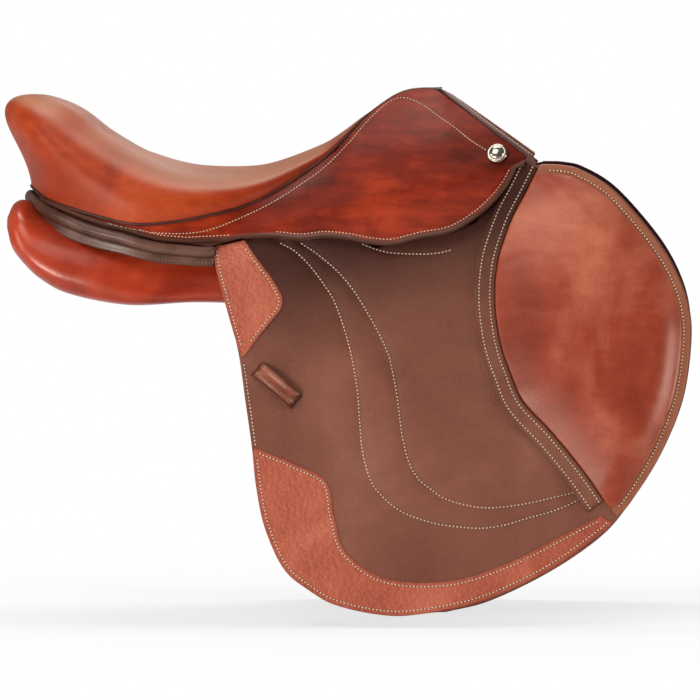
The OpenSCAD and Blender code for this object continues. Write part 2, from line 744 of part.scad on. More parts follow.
module strap_keeper(left) {
    place = [keeper_share[0] * flap_span, keeper_share[1] * flap_drop];
    middle = side_point(place[0], place[1], patch_lift);
    along_p = side_point(place[0] + cut, place[1], patch_lift) - middle;
    along_q = side_point(place[0], place[1] + cut, patch_lift) - middle;
    out = unit(cross(along_p, along_q));
    run = unit(cos(keeper_turn) * unit(along_p) + sin(keeper_turn) * unit(along_q));
    across = cross(out, run);
    arch = scaled(keeper_arch_shares, [keeper_length, keeper_gap]);
    seat = middle + fit_gap * out;
    profile = concat(
        [for (p = arch) [p[0], p[1] + keeper_leather]],
        [for (i = [len(arch) - 1 : -1 : 0]) arch[i]]);
    color(leather_dark)
        side(left)
            multmatrix([
                [run[0], out[0], across[0], seat[0]],
                [run[1], out[1], across[1], seat[1]],
                [run[2], out[2], across[2], seat[2]]])
                linear_extrude(height = keeper_width, center = true)
                    polygon(profile);
}

// Skirt lobe below the fold, as shares of the fold's span and the lobe's depth
lobe_shares = [[0.075, 0.03], [0.14, 0.16], [0.20, 0.36], [0.255, 0.44], [0.305, 0.60], [0.35, 0.80],
    [0.40, 0.95], [0.47, 0.96], [0.52, 1], [0.56, 0.95], [0.61, 0.78], [0.65, 0.57], [0.685, 0.32],
    [0.712, 0.04]];
lobe_low = scaled(lobe_shares, [flap_span, lobe_depth]);
lobe_top = [for (p = lobe_low) [p[0], 2 * fit_gap]];

module skirt_lobe(left) {
    color(leather_red)
        side(left)
            slab(sheet(lobe_top, lobe_low, 26, 3, lobe_out), sheet(lobe_top, lobe_low, 26, 3, lobe_lift));
}

// Layers under the flap
billet_out = -swing_gap;
billet_in = billet_out - billet_leather;
sweat_out = billet_in - swing_gap;
sweat_in = sweat_out - sweat_leather;
panel_face = sweat_in - fit_gap;
sweat_rear_shares = [[0.05, 0.13], [0.05, 0.30], [0.04, 0.50], [0.05, 0.70], [0.12, 0.85], [0.30, 0.92]];
sweat_front_shares = [[0.80, 0.13], [0.90, 0.25], [0.93, 0.40], [0.90, 0.55], [0.80, 0.72],
    [0.60, 0.87], [0.34, 0.92]];

module sweat_flap(left) {
    rear = scaled(sweat_rear_shares, flap_sizes);
    front = scaled(sweat_front_shares, flap_sizes);
    color(leather_brown)
        side(left)
            slab(sheet(rear, front, 14, 8, sweat_out), sheet(rear, front, 14, 8, sweat_in));
}

// Billets hang straight down from studs on the girth webs
billet_drop = 14;
billet_head = 14;
billet_steps = 10;
billet_tip_share = 0.5;
hole_count = 6;
hole_pitch = 25;
hole_first = 40;

function billet_x(index) = round(billet_share * seat_length) - cantle_reach - index * billet_pitch;
function billet_z(index) =
    fold_height + (billet_x(index) + fold_rear) * tan(flap_pitch) - billet_drop;

module billet(left, index) {
    x = billet_x(index);
    top = billet_z(index) + billet_head;
    function strip(lift) = [for (s = steps(0, 1, billet_steps))
        let (z = top - s * billet_length)
        let (half = billet_width / 2 * (s == 1 ? billet_tip_share : 1))
        [for (turn = [-1, 1]) [x + turn * half, side_at(x + turn * half, z, lift), z]]];
    color(leather_brown)
        side(left)
            difference() {
                slab(strip(billet_out), strip(billet_in));
                translate([x, 0, billet_z(index)])
                    rotate([-90, 0, 0])
                        cylinder(h = 2 * flap_half_width, d = billet_stud_d + 2 * pin_gap, $fn = round_fn);
                for (k = [0 : hole_count - 1])
                    translate([x, 0, top - billet_length + hole_first + k * hole_pitch])
                        rotate([-90, 0, 0])
                            cylinder(h = 2 * flap_half_width, d = billet_hole_d, $fn = round_fn);
            }
}

web_rise = 20;
web_tail = 12;
hang_share = 0.69;
rail_share = 0.73;

// Share of the seat stations at a place along the saddle
function station_at(x) = lookup(-x, [for (u = steps(0, 0.6, 60)) [-base_point(u, 1)[0], u]]);

module girth_web(index) {
    x = billet_x(index);
    z = billet_z(index);
    outer = billet_in - fit_gap;
    half = billet_width / 2;
    function hang(edge) = base_point(station_at(edge), hang_share, tree_low + 2 * fit_gap);
    function rail(edge) = base_point(station_at(edge), rail_share, leaf_low + rivet_rise + fit_gap);
    function path(edge) = [
        hang(edge),
        rail(edge),
        [edge, side_at(x, z + web_rise, outer - web_leaf), z + web_rise],
        [edge, side_at(x, z, outer), z],
        [edge, side_at(x, z - web_tail, outer), z - web_tail]];
    function strap(shift) = [for (i = [0 : 4]) [for (edge = [x - half, x + half])
        path(edge)[i] - [0, shift, 0]]];
    slab(strap(0), strap(web_leaf));
    translate([x, side_at(x, z, outer) - web_leaf / 2, z])
        rotate([-90, 0, 0])
            cylinder(h = (web_leaf + fit_gap) / 2 + billet_leather, d = billet_stud_d, $fn = round_fn);
}

module girth_webs() {
    color(webbing)
        for (left = [true, false], index = [0 : 2])
            side(left)
                girth_web(index);
}

// Panels: place, inner and outer edge, upper and lower face of each station
panel_shares = [
    [0, 0.58, 0.68, 0.90, 0.83],
    [0.012, 0.40, 0.84, 0.95, 0.68],
    [0.035, 0.31, 0.93, 0.93, 0.53],
    [0.07, 0.284, 0.975, 0.80, 0.36],
    [0.13, 0.281, 1.0, 0.76, 0.19],
    [0.25, 0.281, 1.0, 0.68, 0.07],
    [0.385, 0.281, 0.90, 0.67, 0.09],
    [0.51, 0.281, 0.87, 0.76, 0.05],
    [0.65, 0.281, 0.86, 0.88, -0.05],
    [0.79, 0.281, 0.82, 1.0, -0.08],
    [0.915, 0.30, 0.74, 1.06, 0.15],
    [1.0, 0.45, 0.62, 1.03, 0.75]];
panel_tilt_share = 0.3;
panel_square = 0.7;
panel_rear = cantle_reach + panel_back;
panel_rise = panel_rise_share * pommel_height;
panel_rows = scaled(panel_shares, [panel_length, panel_out, panel_out, panel_rise, panel_rise]);
panel_steps = 24;
panel_sides = 14;
// The panel's face lies behind the sweat flap from this far ahead of the fold's rear end
panel_behind = 8;

function bend(t) = sign(t) * pow(abs(t), panel_square);

function panel_row(v) =
    let (row = spline(panel_rows, v))
    [row[0] - panel_rear, max(row[1], gullet_width / 2), row[2], row[3], row[4]];

function panel_spot(v, a) =
    let (row = panel_row(v))
    let (half = (row[2] - row[1]) / 2, middle = (row[2] + row[1]) / 2)
    let (y = middle + half * bend(cos(a)))
    let (z = (row[3] + row[4]) / 2 + (row[3] - row[4]) / 2 * bend(sin(a)) - panel_tilt_share * (y - middle))
    [row[0], row[0] > -fold_rear - panel_behind ? min(y, side_at(row[0], z, panel_face)) : y, z];

panel_stud_shares = [[0.40, 0.68], [0.68, 0.68]];
stud_room = 2.4;

function panel_stud_top(i) =
    base_point(panel_stud_shares[i][0], panel_stud_shares[i][1], tree_low + stud_room);

module panel(left) {
    color(leather_red)
        side(left)
            difference() {
                rings([for (v = steps(0, 1, panel_steps))
                    [for (k = [0 : panel_sides - 1]) panel_spot(v, 360 * k / panel_sides)]]);
                for (i = [0 : len(panel_stud_shares) - 1])
                    translate([panel_stud_top(i)[0], panel_stud_top(i)[1], panel_stud_foot(i) - fit_gap])
                        cylinder(h = pommel_height, d = panel_stud_d + 2 * fit_gap, $fn = round_fn);
            }
}

// Height of a stud's foot inside the panel
function panel_stud_foot(i) = panel_rise * panel_foot_shares[i];
panel_foot_shares = [0.45, 0.45];

module panel_studs() {
    color(steel)
        for (left = [true, false], i = [0 : len(panel_stud_shares) - 1])
            side(left)
                translate([panel_stud_top(i)[0], panel_stud_top(i)[1], panel_stud_foot(i)])
                    cylinder(h = panel_stud_top(i)[2] - panel_stud_foot(i), d = panel_stud_d, $fn = round_fn);
}

gullet_shares = [0.28, 0.88];

module gullet_lining() {
    vs = steps(gullet_shares[0], gullet_shares[1], panel_steps / 2);
    function line(turn, lift) = [for (v = vs)
        let (p = panel_spot(v, 180))
        [p[0], turn * (p[1] - fit_gap), p[2] + lift]];
    color(leather_dark)
        slab([line(1, gullet_lining_t / 2), line(-1, gullet_lining_t / 2)],
            [line(1, -gullet_lining_t / 2), line(-1, -gullet_lining_t / 2)]);
}

// Stirrup bar: a plate on the tree, and a round bar with a hinged catch at its rear end
bar_lift = 3;
plate_back = 10;
plate_foot = 10;
bar_s_shares = [0.529, 0.645];
bar_w_shares = [0.50, 0.70, 0.90];
plate_q_shares = [0.55, 1];
plate_p_shares = [0.40, 1.12];
tongue_length = 6;
cheek_gap = 0.3;

module on_bar() {
    translate(side_point(bar_place, bar_drop, bar_lift))
        rotate([0, -flap_pitch, 0])
            rotate([0, 0, -atan(flap_taper_share)])
                rotate([atan(flap_lean_share), 0, 0])
                    children();
}

module across_bar(h, d) {
    rotate([90, 0, 0])
        cylinder(h = h, d = d, center = true, $fn = round_fn);
}

module stirrup_bar(left) {
    function plate(depth) = concat(
        [for (w = bar_w_shares) [for (c = steps(0, 1, 2))
            skirt_point(mix(bar_s_shares[0], bar_s_shares[1], c), w, plate_under + depth)]],
        [for (share = plate_q_shares) [for (c = steps(0, 1, 2))
            side_point(bar_place + bar_length * mix(plate_p_shares[0], plate_p_shares[1], c),
                (bar_drop + plate_foot) * share, bar_plate_t - plate_back - depth)]]);
    color(steel)
        side(left)
            union() {
                slab(plate(0), plate(bar_plate_t));
                on_bar() {
                    translate([tongue_length, 0, 0])
                        rotate([0, 90, 0])
                            cylinder(h = bar_length - tongue_length, d = bar_d, $fn = round_fn);
                    difference() {
                        union() {
                            across_bar(tongue_t, bar_d);
                            translate([0, -tongue_t / 2, -bar_d / 2])
                                cube([tongue_length + cut, tongue_t, bar_d]);
                        }
                        across_bar(2 * bar_d, catch_pin_d + 2 * pin_gap);
                    }
                    translate([bar_length, 0, 0])
                        sphere(d = bar_d, $fn = round_fn);
                    translate([bar_length, 0, 0])
                        rotate([90, 0, 0])
                            cylinder(h = bar_lift + plate_back - bar_plate_t / 2, d = bar_d, $fn = round_fn);
                }
            }
}

catch_width = bar_d - cheek_gap;

module catch_pins() {
    color(steel)
        for (left = [true, false])
            side(left)
                on_bar()
                    across_bar(catch_width, catch_pin_d);
}

module bar_catch(left) {
    color(steel)
        side(left)
            on_bar()
                difference() {
                    union() {
                        across_bar(catch_width, bar_d);
                        translate([-catch_length, -catch_width / 2, -bar_d / 2])
                            cube([catch_length, catch_width, bar_d]);
                    }
                    translate([-bar_d / 2 - cut, -tongue_t / 2 - cheek_gap, -bar_d])
                        cube([2 * bar_d, tongue_t + 2 * cheek_gap, 2 * bar_d]);
                    across_bar(2 * bar_d, catch_pin_d + 2 * pin_gap);
                }
}

tree();
tree_head();
tree_side(true);  // tree_side_l
tree_side(false);  // tree_side_r
head_plate();
cantle_plate();
tree_springs();
tree_rivets();
strainer_web();
girth_webs();
seat_foam();
seat_cover();
seat_welt();
cantle_band();
skirt(true);  // skirt_l
skirt(false);  // skirt_r
pommel_facing();
pommel_welt();
pommel_studs();
panel(true);  // panel_l
panel(false);  // panel_r
panel_studs();
gullet_lining();
sweat_flap(true);  // sweat_flap_l
sweat_flap(false);  // sweat_flap_r
stirrup_bar(true);  // stirrup_bar_l
stirrup_bar(false);  // stirrup_bar_r
catch_pins();
bar_catch(true);  // bar_catch_l
bar_catch(false);  // bar_catch_r
flap(true);  // flap_l
flap(false);  // flap_r
knee_pad(true);  // knee_pad_l
knee_pad(false);  // knee_pad_r
seam_strip(true);  // seam_strip_l
seam_strip(false);  // seam_strip_r
rear_patch(true);  // rear_patch_l
rear_patch(false);  // rear_patch_r
lower_patch(true);  // lower_patch_l
lower_patch(false);  // lower_patch_r
strap_keeper(true);  // strap_keeper_l
strap_keeper(false);  // strap_keeper_r
skirt_lobe(true);  // skirt_lobe_l
skirt_lobe(false);  // skirt_lobe_r
billet(true, 0);  // billet_front_l
billet(false, 0);  // billet_front_r
billet(true, 1);  // billet_middle_l
billet(false, 1);  // billet_middle_r
billet(true, 2);  // billet_rear_l
billet(false, 2);  // billet_rear_r
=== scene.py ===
"""Jumping saddle: leather, padding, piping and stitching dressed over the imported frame."""
import math

import bmesh
import bpy
import numpy as np
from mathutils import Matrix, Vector

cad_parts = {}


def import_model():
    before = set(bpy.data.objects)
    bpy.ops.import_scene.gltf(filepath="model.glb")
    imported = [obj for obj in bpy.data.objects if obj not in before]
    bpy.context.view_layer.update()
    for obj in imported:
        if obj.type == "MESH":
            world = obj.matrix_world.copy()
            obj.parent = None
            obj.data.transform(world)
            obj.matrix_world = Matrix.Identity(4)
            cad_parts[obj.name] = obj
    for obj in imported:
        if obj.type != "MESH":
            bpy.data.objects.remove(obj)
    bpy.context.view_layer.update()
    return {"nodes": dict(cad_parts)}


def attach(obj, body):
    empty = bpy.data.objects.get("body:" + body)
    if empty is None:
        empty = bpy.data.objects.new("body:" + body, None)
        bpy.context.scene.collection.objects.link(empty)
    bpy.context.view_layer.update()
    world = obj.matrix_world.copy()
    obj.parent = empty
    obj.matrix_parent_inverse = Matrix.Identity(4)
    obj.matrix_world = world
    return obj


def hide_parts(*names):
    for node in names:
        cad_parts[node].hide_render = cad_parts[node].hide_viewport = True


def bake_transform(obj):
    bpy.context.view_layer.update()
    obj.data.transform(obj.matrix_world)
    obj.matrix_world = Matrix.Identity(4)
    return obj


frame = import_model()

# Sizes in millimetres, as the part's source has them, apart from those of the welts and the strap keeper
MM = 0.001
FIT_GAP = 0.4
SEAT_LENGTH, SEAT_HALF_WIDTH, POMMEL_HEIGHT, CANTLE_REACH = 398, 128, 202, 317
WELT_D, POMMEL_WELT_D = 2.8, 3.4
BAND_WIDTH, BAND_LEATHER = 24, 5
ARCH_HALF_WIDTH, ARCH_SLOPE, ARCH_PITCH, ARCH_SINK = 92, 100, math.radians(36), 3
FACING_WIDTH, FACING_LEATHER = 16, 3
STUD_D, STUD_RISE = 19, 5
SKIRT_LEATHER, SKIRT_CROWN, LOBE_DEPTH = 4, 3, 43
FLAP_SPAN, FLAP_DROP, FLAP_LEATHER = 410, 388, 5
FLAP_SPREAD, FLAP_BOW, FLAP_PITCH = 108, 38, math.radians(14.25)
FLAP_LEAN, FLAP_TAPER = 0.34, 0.08
FOLD_REAR, FOLD_HEIGHT = 129, 56.6
PATCH_LEATHER, STRIP_WIDTH = 1.5, 19
KNEE_CROWN, KNEE_EDGE = 16, 2
SWEAT_LIFT, SWEAT_LEATHER = -10.6, 3.5
KEEPER_LENGTH, KEEPER_WIDTH, KEEPER_GAP, KEEPER_LEATHER = 49, 16, 9.5, 2.6
PANEL_LENGTH, PANEL_REAR, PANEL_OUT, PANEL_RISE, GULLET_WIDTH = 459, 320, 128, 84, 72
PANEL_LIFT = SWEAT_LIFT - FIT_GAP
PATCH_LIFT = FLAP_LEATHER + FIT_GAP
LOBE_LIFT = PATCH_LIFT + PATCH_LEATHER + 2 * FIT_GAP
LOBE_OUT = LOBE_LIFT + SKIRT_LEATHER

# The photograph: its width in pixels, millimetres a pixel, and the pixel at the rear end of the flap's fold
PHOTO_SIZE, PX = 700, 0.928
FOLD_PX = np.array([211, 247])
SIDES = ((1, "l"), (-1, "r"))
MIRROR = np.array([1, -1, 1])
VIEW_AZIMUTH, VIEW_ELEVATION, VIEW_DISTANCE = math.radians(2), math.radians(2.2), 8.0
VIEW_CLIP = 50
VIEW_WIDTH = PHOTO_SIZE * PX * MM
VIEW_TARGET = np.array([0.0004, -0.110, -0.040])


def view_axes():
    """The camera's right, up and backward directions."""
    toward = np.array([math.sin(VIEW_AZIMUTH) * math.cos(VIEW_ELEVATION),
                       -math.cos(VIEW_AZIMUTH) * math.cos(VIEW_ELEVATION), math.sin(VIEW_ELEVATION)])
    side = np.array([math.cos(VIEW_AZIMUTH), math.sin(VIEW_AZIMUTH), 0])
    return side, np.cross(toward, side), toward


# Curves and surfaces
def mix(a, b, t):
    return a + (b - a) * t


def ease(t):
    t = np.clip(t, 0, 1)
    return t * t * (3 - 2 * t)


def fade(value, start, run):
    """Share of the way from a start over a run, eased at both ends."""
    return ease((value - start) / run)


def unit(v):
    return v / np.maximum(np.linalg.norm(v, axis=-1, keepdims=True), 1e-9)


def spline(knots, u):
    """Points at shares u of a Catmull-Rom curve through the knots."""
    knots = np.asarray(knots, float)
    n = len(knots) - 1
    around = np.vstack([2 * knots[0] - knots[1], knots, 2 * knots[-1] - knots[-2]])
    u = np.asarray(u, float) * n
    i = np.clip(np.floor(u).astype(int), 0, n - 1)
    t = (u - i)[..., None]
    a, b, c, d = around[i], around[i + 1], around[i + 2], around[i + 3]
    square, cube = 2 * a - 5 * b + 4 * c - d, 3 * b - a - 3 * c + d
    return (2 * b + (c - a) * t + square * t ** 2 + cube * t ** 3) / 2


def smooth(knots, count):
    return spline(knots, np.linspace(0, 1, count))


def walked(path):
    """Length of a path up to each of its points."""
    return np.concatenate([[0], np.cumsum(np.linalg.norm(np.diff(path, axis=0), axis=1))])


def full_turn(count):
    return np.linspace(0, 2 * math.pi, count, endpoint=False)


def ruled(a, b, shares_across):
    """Grid of straight lines from the points of one rail to those of another."""
    return mix(a[:, None], b[:, None], shares_across[:, None])


def read_off(at, places, values):
    """Values, one row for each place, read off between the places."""
    return np.stack([np.interp(at, places, column) for column in values.T], -1)


def joined(*grids):
    return np.concatenate([grid.reshape(-1, 3) for grid in grids])


def mirrored(line):
    """A line or grid from the left side that runs on over the middle to the right."""
    return np.concatenate([line, line[-2::-1] * MIRROR])


def beside(line, distance):
    """A plane line moved sideways, to its left where distance is positive."""
    run = unit(np.gradient(line, axis=0))
    return line + distance * np.stack([run[:, 1], -run[:, 0]], -1)


def distance(points, line):
    """Distance from each point to a polyline."""
    points = np.asarray(points, float)
    flat = points.reshape(-1, points.shape[-1])
    a, d = line[:-1], np.diff(line, axis=0)
    best = np.full(len(flat), np.inf)
    for start, step in zip(a, d):
        t = np.clip((flat - start) @ step / max(step @ step, 1e-9), 0, 1)
        best = np.minimum(best, ((flat - start - t[:, None] * step) ** 2).sum(-1))
    return np.sqrt(best).reshape(points.shape[:-1])


def shares(length, step, edge):
    """Shares from 0 to 1 at a step along a length, closer together near both ends."""
    near = edge * np.array([0, 0.08, 0.25, 0.55, 1.0, 1.6]) / length
    inner = np.linspace(near[-1], 1 - near[-1], max(3, round(length / step)))
    return np.concatenate([near[:-1], inner, 1 - near[-2::-1]])


def rolled(d, r):
    """Drop of a rounded edge of radius r at a distance d from it."""
    return r - np.sqrt(np.maximum(0, r * r - (r - np.minimum(d, r)) ** 2))


def dip(d, width):
    """Share of a groove or bead at a distance d from its middle."""
    return np.exp(-(d / width) ** 2)


def eased(line, passes):
    """A line with its corners softened and its ends kept."""
    line = np.array(line, float)
    for _ in range(passes):
        line[1:-1] = (line[:-2] + 2 * line[1:-1] + line[2:]) / 4
    return line


def grid_normals(grid):
    return unit(np.cross(np.gradient(grid, axis=0), np.gradient(grid, axis=1)))


# Materials
def fill(tree, node, *first, **named):
    """Sets a node's settings and sockets, by name or in order, to constants or to links."""
    for key, value in [*named.items(), *enumerate(first)]:
        if isinstance(key, str) and hasattr(node, key):
            setattr(node, key, value)
            continue
        socket = node.inputs[key.replace("_", " ") if isinstance(key, str) else key]
        if isinstance(value, bpy.types.NodeSocket):
            tree.links.new(value, socket)
        else:
            socket.default_value = value


def add(tree, kind, output, *first, **named):
    """One output of a new node."""
    node = tree.nodes.new("ShaderNode" + kind)
    fill(tree, node, *first, **named)
    return node.outputs[output]


def new_material(name):
    """A material with its node tree, its shader and the object's own coordinates."""
    material = bpy.data.materials.new(name)
    material.use_nodes = True
    tree = material.node_tree
    return material, tree, tree.nodes["Principled BSDF"], add(tree, "TexCoord", "Object")


def srgb(*rgb):
    """Linear colour of an 8-bit one."""
    c = np.array(rgb) / 255
    return (*np.where(c <= 0.04045, c / 12.92, ((c + 0.055) / 1.055) ** 2.4), 1.0)


def ramp(tree, source, *stops):
    """Colour of a source between stops, each a share and an 8-bit colour."""
    node = tree.nodes.new("ShaderNodeValToRGB")
    fill(tree, node, source)
    elements = node.color_ramp.elements
    while len(elements) < len(stops):
        elements.new(0.5)
    for element, (place, colour) in zip(elements, stops):
        element.position = place
        element.color = srgb(*colour)
    return node.outputs["Color"]


WHITE, WARM, BURNISHED = (1, 1, 1, 1), (1.0, 0.78, 0.64), (78, 47, 37)
SHEEN_COLOUR, SHEEN_ROUGHNESS = (226, 180, 140), 0.35
STREAK_SCALE, PORE_SHARE = (30, 50, 110), 0.35
# Depths of the surfaces in metres
GRAIN_DEPTH, PEBBLE_DEPTH, WEAVE_DEPTH, FINE_DEPTH = 0.0006, 0.0016, 0.0005, 0.0002


def leather(name, dark, mid, light, rough, gloss, grain, depth, mottle, tint, wear_and_painted_light=None, pebbled=False,
            streak=0.0, sheen=0.0):
    """Leather: three colours in clouds and streaks, a burnished edge, painted shade and painted sheen mixed
    in by the edge attribute, fine grain and an uneven polish.
    """
    material, tree, shader, place = new_material(name)
    clouds = add(tree, "TexNoise", "Fac", Vector=place, Scale=mottle, Detail=5.0, Roughness=0.55,
                 Distortion=0.6)
    drawn = add(tree, "VectorMath", "Vector", place, STREAK_SCALE, operation="MULTIPLY")
    brush = add(tree, "TexNoise", "Fac", Vector=drawn, Scale=1.0, Detail=4.0, Roughness=0.6)
    blot = add(tree, "Mix", "Result", data_type="FLOAT", Factor=streak, A=clouds, B=brush)
    colour = ramp(tree, blot, (0.32, dark), (0.5, mid), (0.68, light))
    speck = add(tree, "TexNoise", "Fac", Vector=place, Scale=260.0, Detail=3.0, Roughness=0.6)
    tone = add(tree, "MapRange", "Result", Value=speck, To_Min=0.86, To_Max=1.14)
    shade = add(tree, "Mix", "Result", data_type="RGBA", blend_type="MULTIPLY", Factor=1.0, A=colour, B=tone)
    # The edge attribute mixes in the second colour: burnished and darkened edges, and also painted shade and
    # painted sheen
    edge = add(tree, "Attribute", "Fac", attribute_name="edge")
    burn = add(tree, "Mix", "Result", data_type="RGBA", Factor=edge, A=shade, B=srgb(*(wear_and_painted_light or dark)))
    cells = add(tree, "TexVoronoi", "Distance", Vector=place, Scale=grain,
                feature="SMOOTH_F1" if pebbled else "F1")
    pores = add(tree, "TexNoise", "Fac", Vector=place, Scale=grain * PORE_SHARE, Detail=4.0)
    height = add(tree, "Math", "Value", cells, pores, operation="ADD")
    bump = add(tree, "Bump", "Normal", Strength=depth, Distance=PEBBLE_DEPTH if pebbled else GRAIN_DEPTH,
               invert=pebbled, Height=height)
    polish = add(tree, "MapRange", "Result", Value=clouds, To_Min=rough - 0.07, To_Max=rough + 0.09)
    fill(tree, shader, Base_Color=burn, Normal=bump, Roughness=polish, Specular_IOR_Level=gloss,
         Specular_Tint=(*tint, 1), Sheen_Weight=sheen, Sheen_Roughness=SHEEN_ROUGHNESS,
         Sheen_Tint=srgb(*SHEEN_COLOUR))
    return material


def thread_material(name, dark, light):
    material, tree, shader, place = new_material(name)
    twist = add(tree, "TexWave", "Fac", Vector=place, Scale=900.0, Distortion=2.0)
    bump = add(tree, "Bump", "Normal", Strength=0.3, Distance=FINE_DEPTH, Height=twist)
    fill(tree, shader, Base_Color=ramp(tree, twist, (0.2, dark), (0.8, light)), Normal=bump, Roughness=0.7)
    return material


def hole_material():
    material, tree, shader, place = new_material("needle_hole")
    noise = add(tree, "TexNoise", "Fac", Vector=place, Scale=400.0)
    fill(tree, shader, Base_Color=ramp(tree, noise, (0.3, (44, 16, 10)), (0.7, (70, 28, 18))), Roughness=0.9)
    return material


def metal(name, colour, rough, scratch):
    material, tree, shader, place = new_material(name)
    noise = add(tree, "TexNoise", "Fac", Vector=place, Scale=120.0, Detail=6.0)
    polish = add(tree, "MapRange", "Result", Value=noise, To_Min=rough * 0.7, To_Max=rough * 1.4)
    bump = add(tree, "Bump", "Normal", Strength=scratch, Distance=FINE_DEPTH, Height=noise)
    fill(tree, shader, Base_Color=srgb(*colour), Metallic=1.0, Roughness=polish, Normal=bump)
    return material


def wood_material():
    material, tree, shader, place = new_material("laminated_beech")
    grain = add(tree, "TexWave", "Fac", Vector=place, Scale=40.0, Distortion=4.0, Detail=3.0,
                bands_direction="Z")
    colour = ramp(tree, grain, (0.1, (150, 106, 62)), (0.6, (196, 152, 100)), (0.95, (212, 172, 122)))
    fill(tree, shader, Base_Color=colour, Roughness=0.55)
    return material


def web_material():
    material, tree, shader, place = new_material("cotton_web")
    weft, warp = (add(tree, "TexWave", "Fac", Vector=place, Scale=scale, Distortion=0.6, bands_direction=way)
                  for scale, way in ((260.0, "X"), (200.0, "Z")))
    weave = add(tree, "Math", "Value", weft, warp, operation="MULTIPLY")
    bump = add(tree, "Bump", "Normal", Strength=0.5, Distance=WEAVE_DEPTH, Height=weave)
    colour = ramp(tree, weave, (0.0, (150, 138, 110)), (0.7, (214, 204, 176)))
    fill(tree, shader, Base_Color=colour, Normal=bump, Roughness=0.85)
    return material


CHESTNUT = leather("chestnut_leather", (58, 13, 7), (114, 30, 13), (166, 54, 24), 0.38, 0.12, 900, 0.08, 9,
                   WARM, BURNISHED, streak=0.34)
# The seat's pale tan colour is the painted sheen of its top
SEAT_RED = leather("seat_leather", (106, 29, 9), (148, 47, 15), (182, 72, 28), 0.42, 0.30, 900, 0.08, 8,
                   WARM, (186, 136, 104), streak=0.2, sheen=0.02)
PANEL_RED = leather("panel_leather", (124, 30, 13), (166, 51, 25), (194, 76, 41), 0.28, 0.6, 900, 0.08, 10,
                    WARM, streak=0.2, sheen=0.02)
KNEE_RED = leather("knee_leather", (104, 30, 17), (145, 58, 37), (182, 101, 75), 0.34, 0.40, 800, 0.10, 7,
                   WARM, (146, 92, 68), streak=0.12, sheen=0.03)
# Brown's darkest colour paints the dark edges and the painted shadow under the skirt
BROWN = leather("brown_leather", (108, 63, 49), (122, 74, 58), (136, 87, 69), 0.5, 0.18, 700, 0.45, 9,
                (1, 0.82, 0.74), (46, 18, 13), streak=0.1)
GRAINED = leather("grained_leather", (154, 74, 54), (168, 85, 63), (182, 98, 75), 0.48, 0.3, 300, 0.9, 16,
                  WARM, (118, 50, 36), pebbled=True)
DARK = leather("dark_leather", (58, 33, 26), (80, 50, 40), (102, 68, 55), 0.34, 0.45, 800, 0.12, 25,
               (1, 0.9, 0.82), (36, 19, 15))
WELT = leather("welt_leather", (44, 18, 14), (62, 27, 21), (80, 40, 31), 0.42, 0.35, 800, 0.12, 30,
               (1, 0.85, 0.75))
FACING = leather("facing_leather", (74, 34, 25), (100, 51, 38), (126, 70, 53), 0.42, 0.38, 800, 0.15, 20,
                 WARM, BURNISHED, sheen=0.08)
# The keeper's dark colour paints its edges and the painted shade at its ends
KEEPER = leather("keeper_leather", (92, 42, 28), (122, 61, 42), (146, 80, 56), 0.36, 0.45, 800, 0.15, 40,
                 WARM, (68, 29, 21))
THREAD = thread_material("waxed_thread", (190, 158, 126), (228, 206, 176))
BROWN_THREAD = thread_material("brown_thread", (112, 78, 62), (152, 114, 92))
KEEPER_THREAD = thread_material("keeper_thread", (150, 104, 78), (188, 142, 110))
NEEDLE = hole_material()
CHROME = metal("polished_chrome", (168, 158, 144), 0.22, 0.02)
STEEL = metal("forged_steel", (150, 152, 156), 0.36, 0.15)
WOOD, WEB = wood_material(), web_material()


# Meshes
SHARP = math.radians(55)
WELD_GAP = 2e-5
CORD_SIDES = 14


def place_object(name, data):
    obj = bpy.data.objects.new(name, data)
    bpy.context.collection.objects.link(obj)
    return obj


def make(name, points, faces, materials, side=1, weld=False, indices=None, edge=None):
    """A smooth mesh from points in millimetres. Side -1 mirrors it to the right."""
    points = np.array(points, float).reshape(-1, 3) * [MM, side * MM, MM]
    mesh = bpy.data.meshes.new(name)
    mesh.from_pydata(points.tolist(), [], faces)
    for material in materials:
        mesh.materials.append(material)
    if indices is not None:
        mesh.polygons.foreach_set("material_index", indices)
    # Share of the second colour: burnished and darkened edges, painted shade and painted sheen
    if edge is not None:
        attribute = mesh.attributes.new("edge", "FLOAT", "POINT")
        attribute.data.foreach_set("value", np.asarray(edge, np.float32).ravel())
    bm = bmesh.new()
    bm.from_mesh(mesh)
    if weld:
        bmesh.ops.remove_doubles(bm, verts=bm.verts, dist=WELD_GAP)
    bmesh.ops.recalc_face_normals(bm, faces=bm.faces)
    for face in bm.faces:
        face.smooth = True
    for joint in bm.edges:
        joint.smooth = joint.calc_face_angle(0) < SHARP
    bm.to_mesh(mesh)
    bm.free()
    return place_object(name, mesh)


def grid_faces(rows, cols, start=0):
    i, j = np.meshgrid(np.arange(rows - 1), np.arange(cols - 1), indexing="ij")
    a = (start + i * cols + j).ravel()
    return np.stack([a, a + 1, a + cols + 1, a + cols], -1).tolist()


def ring_faces(rings, k):
    """Faces between rings of k points each, with both ends closed."""
    walls = [[i * k + j, i * k + (j + 1) % k, (i + 1) * k + (j + 1) % k, (i + 1) * k + j]
             for i in range(rings - 1) for j in range(k)]
    return walls + [list(range(k))[::-1], [(rings - 1) * k + j for j in range(k)]]


def slab(name, top, low, material, side=1, edge=None):
    """A closed sheet between two grids."""
    rows, cols = top.shape[:2]
    n = rows * cols
    rim = [*range(cols), *range(2 * cols - 1, n, cols), *range(n - 2, n - cols - 1, -1),
           *range(n - 2 * cols, 0, -cols)]
    walls = [[a, b, b + n, a + n] for a, b in zip(rim, rim[1:] + rim[:1])]
    faces = grid_faces(rows, cols) + grid_faces(rows, cols, n) + walls
    if edge is not None:
        edge = np.concatenate([edge.ravel(), np.ones(n)])
    return make(name, joined(top, low), faces, [material], side, edge=edge)


